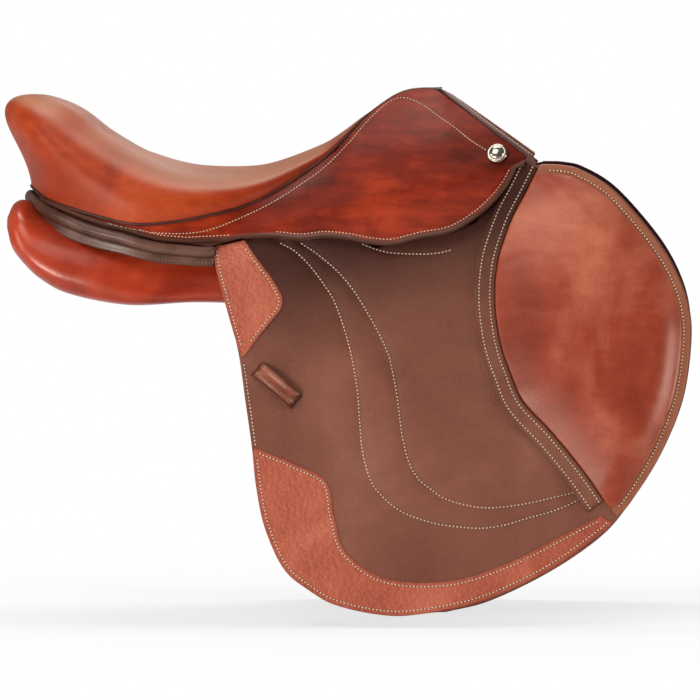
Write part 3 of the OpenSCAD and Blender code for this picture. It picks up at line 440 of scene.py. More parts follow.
def tube(name, path, radius, material, normal=(0, 0, 1)):
    """A closed round cord along a path."""
    run = unit(np.gradient(path, axis=0))
    across = unit(np.cross(run, normal))
    up = np.cross(across, run)
    turn = full_turn(CORD_SIDES)[:, None]
    radius = np.broadcast_to(radius, len(path))[:, None, None]
    ring = (np.cos(turn) * across[:, None] + np.sin(turn) * up[:, None]) * radius
    return make(name, path[:, None] + ring, ring_faces(len(path), CORD_SIDES), [material])


def dress(obj, body, slot, *nodes):
    """Ties a piece to its body and hides the solids it stands for; its material's slot is not used."""
    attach(obj, body)
    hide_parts(*nodes)
    return obj


# Stitching: arched threads with a needle hole between them
STITCH_PITCH, STITCH_LENGTH, STITCH_R, HOLE_R = 3.4, 1.95, 0.56, 0.58
FINE_PITCH, FINE = 3.2, 0.82
THREAD_SIDES = 6
THREAD_STATIONS = np.array([-0.5, -0.44, -0.25, 0.25, 0.44, 0.5])
THREAD_FATNESS = (0.25, 0.75, 1, 1, 0.75, 0.25)
THREAD_HEIGHT, THREAD_ARCH = 0.75, 4.2
HOLE_RIM, HOLE_MIDDLE, HOLE_FOOT = 0.06, 0.14, -0.3


def stamped(shape, path, normals, pitch, phase):
    """Copies of a small shape at a pitch along a path. Its axes run along, across and out."""
    run = walked(path)
    count = max(1, int(run[-1] / pitch))
    at = (np.arange(count) + phase) * run[-1] / count
    middle, up = read_off(at, run, path), unit(read_off(at, run, normals))
    ahead = unit(read_off(at + pitch / 4, run, path) - read_off(at - pitch / 4, run, path))
    across = unit(np.cross(up, ahead))
    return (middle[:, None] + shape[:, 0, None] * ahead[:, None] + shape[:, 1, None] * across[:, None]
            + shape[:, 2, None] * up[:, None])


def copied(faces, count, size, start=0):
    """Faces of each copy of a small shape with a number of points."""
    return [[v + start + m * size for v in f] for m in range(count) for f in faces]


def stitches(name, path, normals, side=1, pitch=STITCH_PITCH, size=1.0, thread=THREAD):
    """One row of stitches on a surface, from points and normals in millimetres."""
    k, turn = THREAD_SIDES, full_turn(THREAD_SIDES)
    length, r, hole = STITCH_LENGTH * pitch / STITCH_PITCH, STITCH_R * size, HOLE_R * size
    rise = r * (THREAD_HEIGHT - THREAD_ARCH * np.abs(THREAD_STATIONS) ** 3)
    ring = np.array([(length * s, r * f * math.cos(a), h + r * f * math.sin(a))
                     for s, f, h in zip(THREAD_STATIONS, THREAD_FATNESS, rise) for a in turn])
    rim = [(hole * math.cos(a), hole * math.sin(a)) for a in turn]
    dent = np.array([(x, y, HOLE_RIM) for x, y in rim] + [(0, 0, HOLE_MIDDLE)]
                    + [(x, y, HOLE_FOOT) for x, y in rim])
    cap = [[j, (j + 1) % k, k] for j in range(k)]
    cap += [[(j + 1) % k, j, k + 1 + j, k + 1 + (j + 1) % k] for j in range(k)]
    cap += [list(range(k + 1, 2 * k + 1))]
    threads = stamped(ring, path, normals, pitch, 0.5)
    holes = stamped(dent, path, normals, pitch, 0.0)
    sewn_faces = copied(ring_faces(len(THREAD_STATIONS), k), len(threads), len(ring))
    hole_faces = copied(cap, len(holes), len(dent), len(threads) * len(ring))
    return make(name, joined(threads, holes), sewn_faces + hole_faces, [thread, NEEDLE], side,
                indices=[0] * len(sewn_faces) + [1] * len(hole_faces))


# Seat: ribs from the seam over the rim to the spine, at stations from the pommel to the cantle.
# Columns: the seam's place, half width and height, the spine's place and height, the height of the rim and
# of the underside, the rim's share of the width, and how far the wall leans out under it
SEAM_X, SEAM_Y, SEAM_Z, SPINE_X, SPINE_Z, RIM_Z, UNDER_Z, RIM_SHARE, LEAN = range(9)
SEAT_SHARES = np.array([
    [1.005, 0.12, 1.006, 0.998, 1.004, 1.005, 0.930, 0.50, 0.00],
    [0.914, 0.16, 0.989, 0.914, 0.986, 0.988, 0.900, 0.50, 0.00],
    [0.830, 0.34, 0.880, 0.830, 0.880, 0.883, 0.815, 0.50, 0.00],
    [0.776, 0.46, 0.774, 0.776, 0.806, 0.804, 0.740, 0.48, 0.00],
    [0.723, 0.54, 0.672, 0.723, 0.741, 0.733, 0.660, 0.46, 0.00],
    [0.615, 0.70, 0.530, 0.615, 0.660, 0.646, 0.530, 0.44, 0.01],
    [0.541, 0.82, 0.464, 0.541, 0.638, 0.616, 0.464, 0.43, 0.02],
    [0.445, 0.94, 0.418, 0.445, 0.642, 0.618, 0.416, 0.42, 0.02],
    [0.373, 0.99, 0.395, 0.382, 0.664, 0.642, 0.394, 0.42, 0.03],
    [0.296, 1.00, 0.388, 0.331, 0.696, 0.692, 0.388, 0.44, 0.04],
    [0.231, 0.96, 0.413, 0.294, 0.719, 0.744, 0.387, 0.50, 0.06],
    [0.147, 0.86, 0.459, 0.268, 0.736, 0.822, 0.390, 0.62, 0.10],
    [0.086, 0.67, 0.500, 0.254, 0.745, 0.918, 0.396, 0.78, 0.17],
    [0.051, 0.39, 0.540, 0.245, 0.751, 0.966, 0.400, 0.96, 0.23],
    [0.035, 0.00, 0.554, 0.240, 0.754, 0.970, 0.405, 1.05, 0.25]])
SEAT_ROWS = SEAT_SHARES * [SEAT_LENGTH, SEAT_HALF_WIDTH, POMMEL_HEIGHT, SEAT_LENGTH, POMMEL_HEIGHT,
                           POMMEL_HEIGHT, POMMEL_HEIGHT, 1, 1]
SEAT_LAST = len(SEAT_ROWS) - 1
SEAT_KNOTS = np.vstack([SEAT_ROWS, SEAT_ROWS[-2] * [1, -1, 1, 1, 1, 1, 1, 1, 1]])
WALL_SHARE, HOOK, SWELL, BOWL_SLOPE = 0.62, 1.3, 0.065, 0.58
SEAT_RIBS, SEAT_POINTS = 150, 56
# Stretches along the seam from the pommel to the cantle, each a start and a run
WALL_STANDS, SWELL_GROWS, BOWL_TURNS = (0.08, 0.10), (0.2, 0.2), (0.70, 0.09)
# Painted sheen on the upward-facing top: its share, and the slope of the normals over which it grows
PAINTED_TOP_SHEEN, PAINTED_SHEEN_SLOPE = 0.6, (0.60, 0.40)
SMALL = 0.002


def seat_row(u):
    return spline(SEAT_KNOTS, np.asarray(u) * SEAT_LAST / (SEAT_LAST + 1))


def seat_place(row, r, z):
    """Point at a share r of the way from the spine to the seam, at a height z."""
    x = mix(row[..., SPINE_X], row[..., SEAM_X], r)
    return np.stack([x - CANTLE_REACH, r * row[..., SEAM_Y], z], -1)


def seat_point(u, t):
    u, t = np.broadcast_arrays(np.asarray(u, float), np.asarray(t, float))
    row = seat_row(u)
    a = np.radians(90 * t / WALL_SHARE)
    # The wall stands on the seam, but lies down at the pommel so that it runs on into the skirt
    flat = 1 - fade(u, *WALL_STANDS)
    fall = np.clip(1 - t / WALL_SHARE, 0, 1)
    inward = mix(np.cos(a), fall, flat)
    rise = mix(np.sin(a), 1 - fall ** 2, flat)
    swell = SWELL * fade(u, *SWELL_GROWS) * np.sin(2 * a) * np.cos(a)
    hook = row[..., LEAN] * HOOK * np.sin(2 * a) * np.sin(a)
    wall = seat_place(row, mix(row[..., RIM_SHARE], 1, inward) + swell + hook,
                      mix(row[..., SEAM_Z], row[..., RIM_Z], rise))
    # Ribs of the cantle reach the spine on the bowl's own slope
    slope = BOWL_SLOPE * fade(u, *BOWL_TURNS)
    w = np.clip((t - WALL_SHARE) / (1 - WALL_SHARE), 0, 1)
    sink = (3 - slope) * w ** 2 + (slope - 2) * w ** 3
    top = seat_place(row, row[..., RIM_SHARE] * (1 - w), mix(row[..., RIM_Z], row[..., SPINE_Z], sink))
    return np.where((t <= WALL_SHARE)[..., None], wall, top)


def base_point(u, r):
    row = seat_row(u)
    return seat_place(row, r, mix(row[..., UNDER_Z], row[..., SEAM_Z], r))


def seam_out(u):
    """Level direction away from the seat at its seam."""
    row = seat_row(u)
    along = row[..., SEAM_X] - row[..., SPINE_X]
    return unit(np.stack([along, row[..., SEAM_Y], np.zeros_like(along)], -1))


def under_seam(u, depth, out=0.0):
    """Points below the seam, square to it, and outside it."""
    u = np.asarray(u, float)
    run = seat_point(u + SMALL, 0) - seat_point(u - SMALL, 0)
    down = unit(np.cross(run, seam_out(u)))
    return seat_point(u, 0) + depth * down + out * seam_out(u)


def seat():
    us, ts = np.linspace(0, 1, SEAT_RIBS)[:, None], np.linspace(0, 1, SEAT_POINTS)
    top, low = seat_point(us, ts), base_point(us, 1 - ts)
    # Painted sheen: the upward-facing top is painted pale tan, the sides keep their colour
    painted_sheen = PAINTED_TOP_SHEEN * fade(np.abs(grid_normals(top)[..., 2]), *PAINTED_SHEEN_SLOPE)
    rows, cols = top.shape[:2]
    n = rows * cols
    skin, under = grid_faces(rows, cols), grid_faces(rows, cols, n)
    seam = [[i * cols, (i + 1) * cols, (i + 1) * cols + n, i * cols + n] for i in range(rows - 1)]
    front = [[j, j + 1, j + 1 + n, j + n] for j in range(cols - 1)]
    one = skin + under + seam + front
    faces = one + [[v + 2 * n for v in f[::-1]] for f in one]
    mark = [0] * len(skin) + [1] * len(under) + [0] * (len(seam) + len(front))
    obj = make("seat", joined(top, low, top * MIRROR, low * MIRROR), faces, [SEAT_RED, WEB], weld=True,
               indices=mark + mark, edge=np.tile(np.concatenate([painted_sheen.ravel(), np.zeros(n)]), 2))
    dress(obj, "saddle", "chestnut_leather", "seat_cover", "seat_foam")


# The welt lies under the seam, and the skirt starts under the welt
SEAM_GAP, SKIRT_START = WELT_D / 2, WELT_D
WELT_FRONT, WELT_TAPER, WELT_TIP = 0.135, 24, 0.2


def seat_welt():
    path = mirrored(under_seam(np.linspace(WELT_FRONT, 1, 160), SEAM_GAP))
    ends = np.minimum(np.arange(len(path)), np.arange(len(path))[::-1]) / WELT_TAPER
    obj = tube("seat_welt_cord", path, WELT_D / 2 * mix(WELT_TIP, 1, ease(ends)), WELT)
    dress(obj, "saddle", "dark_leather", "seat_welt")


# Pommel arch on its slope
ARCH = np.array([[0, 0], [0.22, 0.02], [0.38, 0.10], [0.55, 0.28], [0.72, 0.48], [0.87, 0.70], [1, 1]])
ARCH = ARCH * [ARCH_HALF_WIDTH, ARCH_SLOPE]
ARCH_CUT = 1
ARCH_FRONT = SEAT_LENGTH * SEAT_SHARES[0, SPINE_X] - CANTLE_REACH + ARCH_CUT
ARCH_PEAK = np.array([ARCH_FRONT, 0, POMMEL_HEIGHT - ARCH_SINK])
ARCH_RUN = np.array([math.cos(ARCH_PITCH), 0, -math.sin(ARCH_PITCH)])
ARCH_UP = np.array([math.sin(ARCH_PITCH), 0, math.cos(ARCH_PITCH)])
ARCH_ACROSS = np.array([0, 1, 0])
ARCH_COUNT = 60
FACING_ROUND, FACING_STITCH, THREAD_LIFT, WELT_SINK = 2.4, 3.5, 0.5, 0.4
LINING_LEATHER, LINING_DEPTH = 1.2, 27
# Insets from the arch's edge and heights over its slope, round the turned-in leather
LINING_TURN = np.array([
    [19.5, -1.0], [24, 0.3], [28, 0.4], [30.4, -0.3], [31.7, -2.2], [32, -9], [32, -18], [32, -LINING_DEPTH]])
CAP_INSETS, CAP_FACES, CAP_TOP = (3, 10, 18, 25, 32), (1.6, 0.3), 0.4


def on_arch(flat, lift):
    """Points on the slope from half widths and distances down it."""
    lift = np.asarray(lift, float)[..., None]
    return ARCH_PEAK + flat[..., 1:2] * ARCH_RUN + flat[..., :1] * ARCH_ACROSS + lift * ARCH_UP


def half_arch(inset):
    line = beside(smooth(ARCH, ARCH_COUNT), -inset)
    line[0] = [0, inset]
    return line


def round_arch(inset):
    half = half_arch(inset)
    return np.concatenate([half[::-1], half[1:] * [-1, 1]])


def pommel():
    outer = POMMEL_WELT_D + FIT_GAP
    inner = outer + FACING_WIDTH
    across = np.linspace(0, 1, 14)
    flat = ruled(round_arch(outer), round_arch(inner), across)
    bead = np.sin(math.pi * across)
    face = FACING_LEATHER - rolled(FACING_WIDTH * np.minimum(across, 1 - across), FACING_ROUND) + bead
    strip = slab("pommel_strip", on_arch(flat, FIT_GAP + face), on_arch(flat, FIT_GAP), FACING)
    dress(strip, "saddle", "tan_leather", "pommel_facing")
    path = on_arch(round_arch(inner - FACING_STITCH), FIT_GAP + FACING_LEATHER + THREAD_LIFT)
    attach(stitches("pommel_stitch", path, np.broadcast_to(ARCH_UP, path.shape)), "saddle")
    middle = POMMEL_WELT_D * WELT_SINK
    cord = tube("pommel_welt_cord", on_arch(round_arch(middle), middle), POMMEL_WELT_D / 2, WELT, ARCH_UP)
    dress(cord, "saddle", "dark_leather", "pommel_welt")


def arch_lining():
    """Leather turned in under the facing, with a cap over each end of the head."""
    sheet = lambda back: np.stack([on_arch(round_arch(inset - back), lift - back)
                                   for inset, lift in LINING_TURN], 1)
    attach(slab("arch_lining", sheet(0), sheet(LINING_LEATHER), FACING), "saddle")
    ends = [half_arch(inset)[-2:] for inset in CAP_INSETS]
    depths = np.linspace(CAP_TOP, -LINING_DEPTH, 5)
    faces = [np.array([on_arch(b + past * unit(b - a), depths) for a, b in ends]) for past in CAP_FACES]
    for side, tag in SIDES:
        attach(slab("arch_cap_" + tag, *faces, FACING, side), "saddle")


# Side of the saddle: p runs forward along the flap's fold, q down from it
COS, SIN = math.cos(FLAP_PITCH), math.sin(FLAP_PITCH)
SIDE_DOWN = np.array([SIN, FLAP_LEAN, -COS])


def side_face(p, q):
    return FLAP_SPREAD - FLAP_TAPER * p + FLAP_LEAN * q - FLAP_BOW * (q / FLAP_DROP) ** 2


def side_point(pq, lift):
    p, q = pq[..., 0], pq[..., 1]
    x, z = -FOLD_REAR + p * COS + q * SIN, FOLD_HEIGHT + p * SIN - q * COS
    return np.stack([x, side_face(p, q) + lift, z], -1)


def side_normal(pq):
    here = side_point(pq, 0)
    return unit(np.cross(side_point(pq + [1, 0], 0) - here, side_point(pq + [0, 1], 0) - here))


def to_fold(x, z):
    run, rise = x + FOLD_REAR, z - FOLD_HEIGHT
    return np.stack([run * COS + rise * SIN, run * SIN - rise * COS], -1)


def from_photo(pixels):
    """Places on the side face of points seen in the photograph."""
    d = (np.asarray(pixels, float) - FOLD_PX) * PX
    return np.stack([d[:, 0] * COS - d[:, 1] * SIN, d[:, 0] * SIN + d[:, 1] * COS], -1)


# Skirt: from the seam over the fold to its lower edge
TAIL_LENGTH, TAIL_SPREAD, TAIL_RISE = 96, 9.4, 18.4
TAIL = np.array([[0, 0], [0.45, 0.14], [0.90, 0.27], [0.98, 0.62], [0.47, 1]]) * [TAIL_SPREAD, TAIL_RISE]
LOBE = np.array([
    [0.075, 0.03], [0.14, 0.16], [0.20, 0.36], [0.255, 0.44], [0.305, 0.60], [0.35, 0.80], [0.40, 0.95],
    [0.47, 0.96], [0.52, 1], [0.56, 0.95], [0.61, 0.78], [0.65, 0.57], [0.685, 0.32],
    [0.712, 0.04]]) * [FLAP_SPAN, LOBE_DEPTH]
TAIL_FRONT, TAIL_REAR, TAIL_START = 0.70, 0.885, 0.53
TAIL_DEPTH, TAIL_LIP, TAIL_OUT = 9.0, 1.6, 1.2
TAIL_LEAVES, GAP_OPENS, SKIRT_TUCK = (0.64, 0.09), (0.10, 0.09), -0.6
FOLD_START, FOLD_END = [0.04 * FLAP_SPAN, 0], [0.735 * FLAP_SPAN, 0]


def skirt_low(x):
    """Points on the fold, and behind it on the tail over the cantle band, at places x."""
    x = np.asarray(x, float)
    fold = side_point(np.stack([(x + FOLD_REAR) / COS, np.zeros_like(x)], -1), LOBE_OUT)
    tail = spline(TAIL, np.clip((-FOLD_REAR - x) / TAIL_LENGTH, 0, 1))
    end = side_point(np.zeros(2), LOBE_OUT)
    rear = np.stack([x, end[1] + tail[..., 0], end[2] + tail[..., 1]], -1)
    return np.where((x >= -FOLD_REAR)[..., None], fold, rear)


SEAM_SHARES = np.concatenate([np.linspace(TAIL_REAR, 0.74, 5), np.linspace(0.70, 0.02, 12)])
ARCH_SHARES = np.array([0.27, 0.40, 0.52, 0.64, 0.76, 0.88, 1.0])
SKIRT_GAP = mix(SKIRT_TUCK, SKIRT_START, fade(SEAM_SHARES, *GAP_OPENS))[:, None]
SKIRT_TOP = np.concatenate([under_seam(SEAM_SHARES, SKIRT_GAP, FIT_GAP),
                            on_arch(spline(ARCH, ARCH_SHARES), 0.0)])
SKIRT_TOP_LIE, SKIRT_LOW_LIE = unit(np.array([0, 0.6, 0.8])), np.array([0, 1.0, 0])
SKIRT_BEAD, SKIRT_ROUND, SKIRT_STITCH, LOBE_FLARE = 1.6, 2.4, 6.0, 8.0
SKIRT_RIBS, SKIRT_POINTS, LOBE_RIBS, PLANE_POINTS = 220, 34, 200, 12
FOLD_SOFT, FULL_REACH, STITCHED_REACH, THIN_EDGE = 20, 40, 9, 0.2
BEAD_PLACE, BEAD_WIDTH, GROOVE_DEPTH, GROOVE_WIDTH, BURNISH_FADES = 2.6, 1.8, 0.5, 1.5, (3.8, 1.4)
SEAM_STITCH_PX = [
    (104, 222), (128, 228), (153, 232), (184, 233), (210, 229), (241, 217), (272, 202), (302, 183),
    (325, 166), (348, 143), (364, 124), (379, 109), (394, 99), (407, 98), (423, 105), (438, 116), (454, 127),
    (469, 139), (486, 150)]


def tail_low(u):
    """Lower edge of the skirt's tail, which narrows along the seam to the cantle."""
    u = np.asarray(u, float)
    thin = fade(u, TAIL_FRONT, TAIL_REAR - TAIL_FRONT)[..., None]
    rear = under_seam(u, mix(TAIL_DEPTH, SKIRT_START + TAIL_LIP, thin), TAIL_OUT)
    return mix(skirt_low(rear[..., 0]), rear, fade(u, *TAIL_LEAVES)[..., None])


def skirt_edge():
    """The whole lower edge in the plane of the fold's p and q."""
    rear = tail_low(np.linspace(TAIL_REAR, TAIL_START, 60))
    tail = to_fold(rear[:, 0], rear[:, 2])
    return np.concatenate([tail, [FOLD_START], smooth(LOBE, LOBE_RIBS), [FOLD_END]])


def skirt_lift(pq, edge):
    """Rolled edge with a bead along it, and the distance from the edge."""
    d = distance(pq, edge)
    bead, groove = dip(d - BEAD_PLACE, BEAD_WIDTH), dip(d - SKIRT_STITCH, GROOVE_WIDTH)
    return SKIRT_BEAD * bead - rolled(d, SKIRT_ROUND) - GROOVE_DEPTH * groove, d


def burnish(d):
    """Share of the burnished colour at a distance from the beaded edge."""
    return 1 - fade(d, *BURNISH_FADES)


def blend_at(obj):
    """Bakes a piece's transform into its mesh."""
    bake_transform(obj)


def skirt_sheet(edge):
    """Both faces of the fixed skirt, distances from its edge, and the ribs that are on its tail."""
    ss, w = np.linspace(0, 1, SKIRT_RIBS), np.linspace(0, 1, SKIRT_POINTS)[:, None]
    top = eased(spline(SKIRT_TOP, ss), 30)
    us = np.interp(ss * (len(SKIRT_TOP) - 1), np.arange(len(SEAM_SHARES)), SEAM_SHARES)
    low = np.where((us > TAIL_START)[:, None], tail_low(us), skirt_low(top[:, 0]))
    chord = low - top
    reach = np.linalg.norm(chord, axis=-1, keepdims=True)
    # Hermite curve that leaves the seam along the chord with a swell, and meets the fold on the flap's slope
    lead = chord + 4 * SKIRT_CROWN * SKIRT_TOP_LIE * np.clip(reach / FULL_REACH, 0, 1)
    over_fold = ease((top[:, :1] + FOLD_REAR + FOLD_SOFT) / (2 * FOLD_SOFT))
    meet = mix(chord, unit(SIDE_DOWN) * reach, over_fold)
    body = ((2 * w ** 3 - 3 * w ** 2 + 1) * top[:, None] + (w ** 3 - 2 * w ** 2 + w) * lead[:, None]
            + (3 * w ** 2 - 2 * w ** 3) * low[:, None] + (w ** 3 - w ** 2) * meet[:, None])
    lie = unit(mix(SKIRT_TOP_LIE, SKIRT_LOW_LIE, w))
    lift, d = skirt_lift(to_fold(body[..., 0], body[..., 2]), edge)
    outer = body + lift[..., None] * lie
    inner = body - (SKIRT_LEATHER - THIN_EDGE) * lie
    inner[..., 1] = np.minimum(inner[..., 1], outer[..., 1] - THIN_EDGE)
    return outer, inner, d, (top[:, 0] < -FOLD_REAR + FOLD_SOFT) & (reach[:, 0] > STITCHED_REACH)


def lobe_sheet(edge):
    """Both faces of the free lobe, its normals, distances from its edge, and the ribs that are stitched."""
    lobe, w = smooth(LOBE, LOBE_RIBS), shares(LOBE_DEPTH * 0.7, 1.6, 3)
    pq = ruled(lobe * [1, 0], lobe, w)
    lift, d = skirt_lift(pq, edge)
    # The free edge stands off the flap
    flare = LOBE_FLARE * (w * lobe[:, 1:] / LOBE_DEPTH) ** 1.4
    outer = side_point(pq, LOBE_OUT + lift + flare)
    inner = side_point(pq, np.minimum(LOBE_LIFT + THIN_EDGE, LOBE_OUT + lift - THIN_EDGE) + flare)
    return outer, inner, side_normal(pq), d, lobe[:, 1] > SKIRT_STITCH + 2


def seen_on(pixels, grid, normals):
    """Points and normals of a surface on the right-hand side at places seen in the photograph."""
    points = grid.reshape(-1, 3)
    flat = points * MIRROR - VIEW_TARGET / MM
    side, up, toward = view_axes()
    scale = VIEW_DISTANCE / (VIEW_DISTANCE - flat @ toward * MM)
    seen = np.stack([flat @ side * scale, flat @ up * scale], -1)
    path, lines = [], []
    for spot in (np.asarray(pixels, float) - (PHOTO_SIZE - 1) / 2) * [PX, -PX]:
        near = np.argsort(((seen - spot) ** 2).sum(-1))[:PLANE_POINTS]
        # Plane fit through the nearest points
        plane = np.column_stack([np.ones(len(near)), seen[near] - spot])
        path.append(np.linalg.lstsq(plane, points[near], rcond=None)[0][0])
        lines.append(normals.reshape(-1, 3)[near].mean(0))
    return np.array(path), unit(np.array(lines))


def inset_row(grid, normals, d, ribs, inset):
    """Points and normals at a distance inside an edge, one on each of the chosen ribs of a grid."""
    path, lines = [], []
    for i in np.flatnonzero(ribs):
        order = np.maximum.accumulate(d[i, ::-1])
        path.append(read_off(inset, order, grid[i, ::-1]))
        lines.append(read_off(inset, order, normals[i, ::-1]))
    return np.array(path), unit(np.array(lines))


def skirts():
    edge = skirt_edge()
    outer, inner, d, on_tail = skirt_sheet(edge)
    normals = grid_normals(outer)
    normals *= np.sign(normals[..., 1:2] + 1e-9)
    lobe_outer, lobe_inner, lobe_normals, lobe_d, deep = lobe_sheet(edge)
    # Stitching under the seat seam and round the pommel, and inside the beaded lower edge
    rows = {"seam": seen_on(smooth(SEAM_STITCH_PX, 260), outer, normals),
            "tail": inset_row(outer, normals, d, on_tail, SKIRT_STITCH),
            "lobe": inset_row(lobe_outer, lobe_normals, lobe_d, deep, SKIRT_STITCH)}
    for side, tag in SIDES:
        upper = slab("skirt_upper_" + tag, outer, inner, CHESTNUT, side, burnish(d))
        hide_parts("skirt_" + tag)
        blend_at(upper)
        lower = slab("skirt_lower_" + tag, lobe_outer, lobe_inner, CHESTNUT, side, burnish(lobe_d))
        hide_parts("skirt_lobe_" + tag)
        blend_at(lower)
        for name, (path, lines) in rows.items():
            row = stitches("%s_stitch_%s" % (name, tag), path, lines, side, FINE_PITCH, FINE)
            if name == "lobe":
                blend_at(row)
            else:
                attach(row, "saddle")


# Cantle band: a rounded roll over a stitched strip, both in shares of its width
BAND_FRONT, BAND_NARROW, BAND_STITCH = 0.475, 0.78, 0.80
BAND_RUN, BAND_ROUND, BAND_PITCH, BAND_THREAD = 330, 1.8, 3.4, 0.8
ROLL_HALF, ROLL_HEIGHT, STRIP_HEIGHT, STRIP_STARTS = 0.27, 5.2, 0.9, (0.54, 0.06)
BAND_LEAVES, BAND_EDGE = (0.84, 0.04), (0.96, 0.98, 0.992, 1.0)


def band_top(u):
    """The band starts under the skirt's tail, and under the welt round the cantle."""
    run = tail_low(np.minimum(u, TAIL_REAR))
    seam = under_seam(u, SKIRT_START + TAIL_LIP, TAIL_OUT)
    return mix(run, seam, fade(u, *BAND_LEAVES)[..., None]) + [0, 0, -TAIL_OUT]


def cantle_band():
    us = np.linspace(BAND_FRONT, 1, 110)
    on_roll = ROLL_HALF * (1 - np.cos(np.linspace(0, math.pi, 24)))
    ws = np.concatenate([on_roll, np.linspace(0.57, 0.94, 10), BAND_EDGE])
    width = BAND_WIDTH * mix(BAND_NARROW, 1, fade(us, BAND_FRONT, 1 - BAND_FRONT))
    roll = ROLL_HEIGHT * np.sqrt(np.maximum(0, 1 - ((ws - ROLL_HALF) / ROLL_HALF) ** 2))
    roll = np.where(ws < 2 * ROLL_HALF, roll, STRIP_HEIGHT * fade(ws, *STRIP_STARTS))
    roll = roll - rolled((1 - ws) * BAND_WIDTH, BAND_ROUND)
    end = rolled((us - BAND_FRONT) * BAND_RUN, BAND_ROUND)
    drop = np.stack([np.zeros_like(width), np.zeros_like(width), -width], -1)
    spine = eased(band_top(us), 20)[:, None] + ws[:, None] * drop[:, None]
    out = seam_out(us)[:, None]
    top = spine + (roll[:, None] - end[:, None, None]) * out
    low = spine - (BAND_LEATHER - 1.0) * out
    obj = slab("cantle_band_roll", mirrored(top), mirrored(low), DARK)
    dress(obj, "saddle", "dark_leather", "cantle_band")
    path, lines = mirrored(top[:, np.argmin(np.abs(ws - BAND_STITCH))]), mirrored(seam_out(us))
    row = stitches("band_stitch", path, lines, pitch=BAND_PITCH, size=BAND_THREAD, thread=BROWN_THREAD)
    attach(row, "saddle")


# Panels: stuffed cushions along both sides of the gullet. Columns: the place, the inner and outer half width,
# the top and the bottom
PANEL_SHARES = np.array([
    [0, 0.58, 0.68, 0.98, 0.86], [0.012, 0.40, 0.84, 1.10, 0.68], [0.035, 0.31, 0.93, 1.12, 0.53],
    [0.07, 0.284, 0.975, 1.00, 0.36], [0.13, 0.281, 1.0, 0.90, 0.19], [0.25, 0.281, 1.0, 0.76, 0.07],
    [0.385, 0.281, 0.90, 0.67, 0.09], [0.51, 0.281, 0.87, 0.76, 0.05], [0.65, 0.281, 0.86, 0.88, -0.05],
    [0.79, 0.281, 0.82, 1.0, -0.08], [0.915, 0.30, 0.74, 1.06, 0.15], [1.0, 0.45, 0.62, 1.03, 0.75]])
PANEL_ROWS = PANEL_SHARES * [PANEL_LENGTH, PANEL_OUT, PANEL_OUT, PANEL_RISE, PANEL_RISE]
PANEL_TILT, PANEL_SQUARE, PANEL_BEHIND, PANEL_SOFT, PANEL_FLARE, FLARE_RUN = 0.3, 0.84, 8, 8, 26, 110
PANEL_END = 0.02


def panels():
    # Closer rings at both ends
    rear, front = np.linspace(0, PANEL_END, 8)[:-1], np.linspace(1 - PANEL_END, 1, 8)[1:]
    at = np.concatenate([rear, np.linspace(PANEL_END, 1 - PANEL_END, 110), front])
    turn = full_turn(64)
    row = spline(PANEL_ROWS, at)[:, :, None]
    inner, outer, high, low = np.maximum(row[:, 1], GULLET_WIDTH / 2), row[:, 2], row[:, 3], row[:, 4]
    squared = lambda t: np.sign(t) * np.abs(t) ** PANEL_SQUARE
    middle = (outer + inner) / 2
    x = row[:, 0] - PANEL_REAR + 0 * turn
    y = middle + (outer - inner) / 2 * squared(np.cos(turn))
    z = (high + low) / 2 + (high - low) / 2 * squared(np.sin(turn)) - PANEL_TILT * (y - middle)
    # The side face holds the cushion in, and lets it out behind the flap
    fold = to_fold(x, z)
    limit = side_face(fold[..., 0], fold[..., 1]) + PANEL_LIFT
    limit = limit + PANEL_FLARE * ease((-FOLD_REAR - PANEL_BEHIND - x) / FLARE_RUN)
    y = (y + limit - np.sqrt((y - limit) ** 2 + PANEL_SOFT ** 2) + PANEL_SOFT * 0.2) / 2
    ring = np.stack([x, y, z], -1)
    for side, tag in SIDES:
        obj = make("panel_cushion_" + tag, ring, ring_faces(*ring.shape[:2]), [PANEL_RED], side)
        dress(obj, "saddle", "panel_leather", "panel_" + tag)


# Flap and the leather sewn on it
FLAP_SIZES = [FLAP_SPAN, FLAP_DROP]
FLAP_REAR = np.array([
    [0, 0.006], [0.004, 0.12], [0.006, 0.255], [-0.004, 0.375], [-0.013, 0.475], [-0.025, 0.585],
    [-0.027, 0.68], [-0.008, 0.78], [0.036, 0.845], [0.092, 0.899], [0.20, 0.952], [0.30, 0.97]]) * FLAP_SIZES
FLAP_FRONT = np.array([
    [0.765, 0.006], [0.814, 0.02], [0.854, 0.041], [0.915, 0.107], [0.975, 0.227], [1.006, 0.322],
    [1.016, 0.418], [1, 0.507], [0.95, 0.632], [0.869, 0.746], [0.777, 0.836], [0.697, 0.894], [0.568, 0.944],
    [0.423, 0.975], [0.32, 0.975]]) * FLAP_SIZES
STRIP = np.array([
    [0.760, 0.012], [0.721, 0.06], [0.679, 0.11], [0.649, 0.155], [0.625, 0.197], [0.606, 0.247],
    [0.592, 0.304], [0.585, 0.364], [0.584, 0.416], [0.589, 0.466], [0.601, 0.539], [0.646, 0.625],
    [0.692, 0.726], [0.724, 0.812]]) * FLAP_SIZES
KNEE_FRONT = np.array([
    [0.768, 0.010], [0.813, 0.024], [0.851, 0.047], [0.909, 0.112], [0.967, 0.230], [0.998, 0.324],
    [1.008, 0.418], [0.992, 0.506], [0.943, 0.628], [0.864, 0.741], [0.778, 0.829],
    [0.742, 0.852]]) * FLAP_SIZES
PATCH_FRONT = from_photo([
    (245, 241), (254, 254), (264, 267), (273, 279), (280, 290), (284, 300), (282, 310), (274, 320),
    (262, 335), (246, 357)])
PATCH_REAR = from_photo([(213, 248), (217, 270), (223, 292), (229, 312), (236, 335), (243, 355)])
LOWER_IN = np.array([
    [-0.006, 0.489], [0.067, 0.546], [0.13, 0.607], [0.129, 0.696], [0.137, 0.78], [0.206, 0.862],
    [0.343, 0.906], [0.487, 0.898], [0.638, 0.862], [0.71, 0.845]]) * FLAP_SIZES
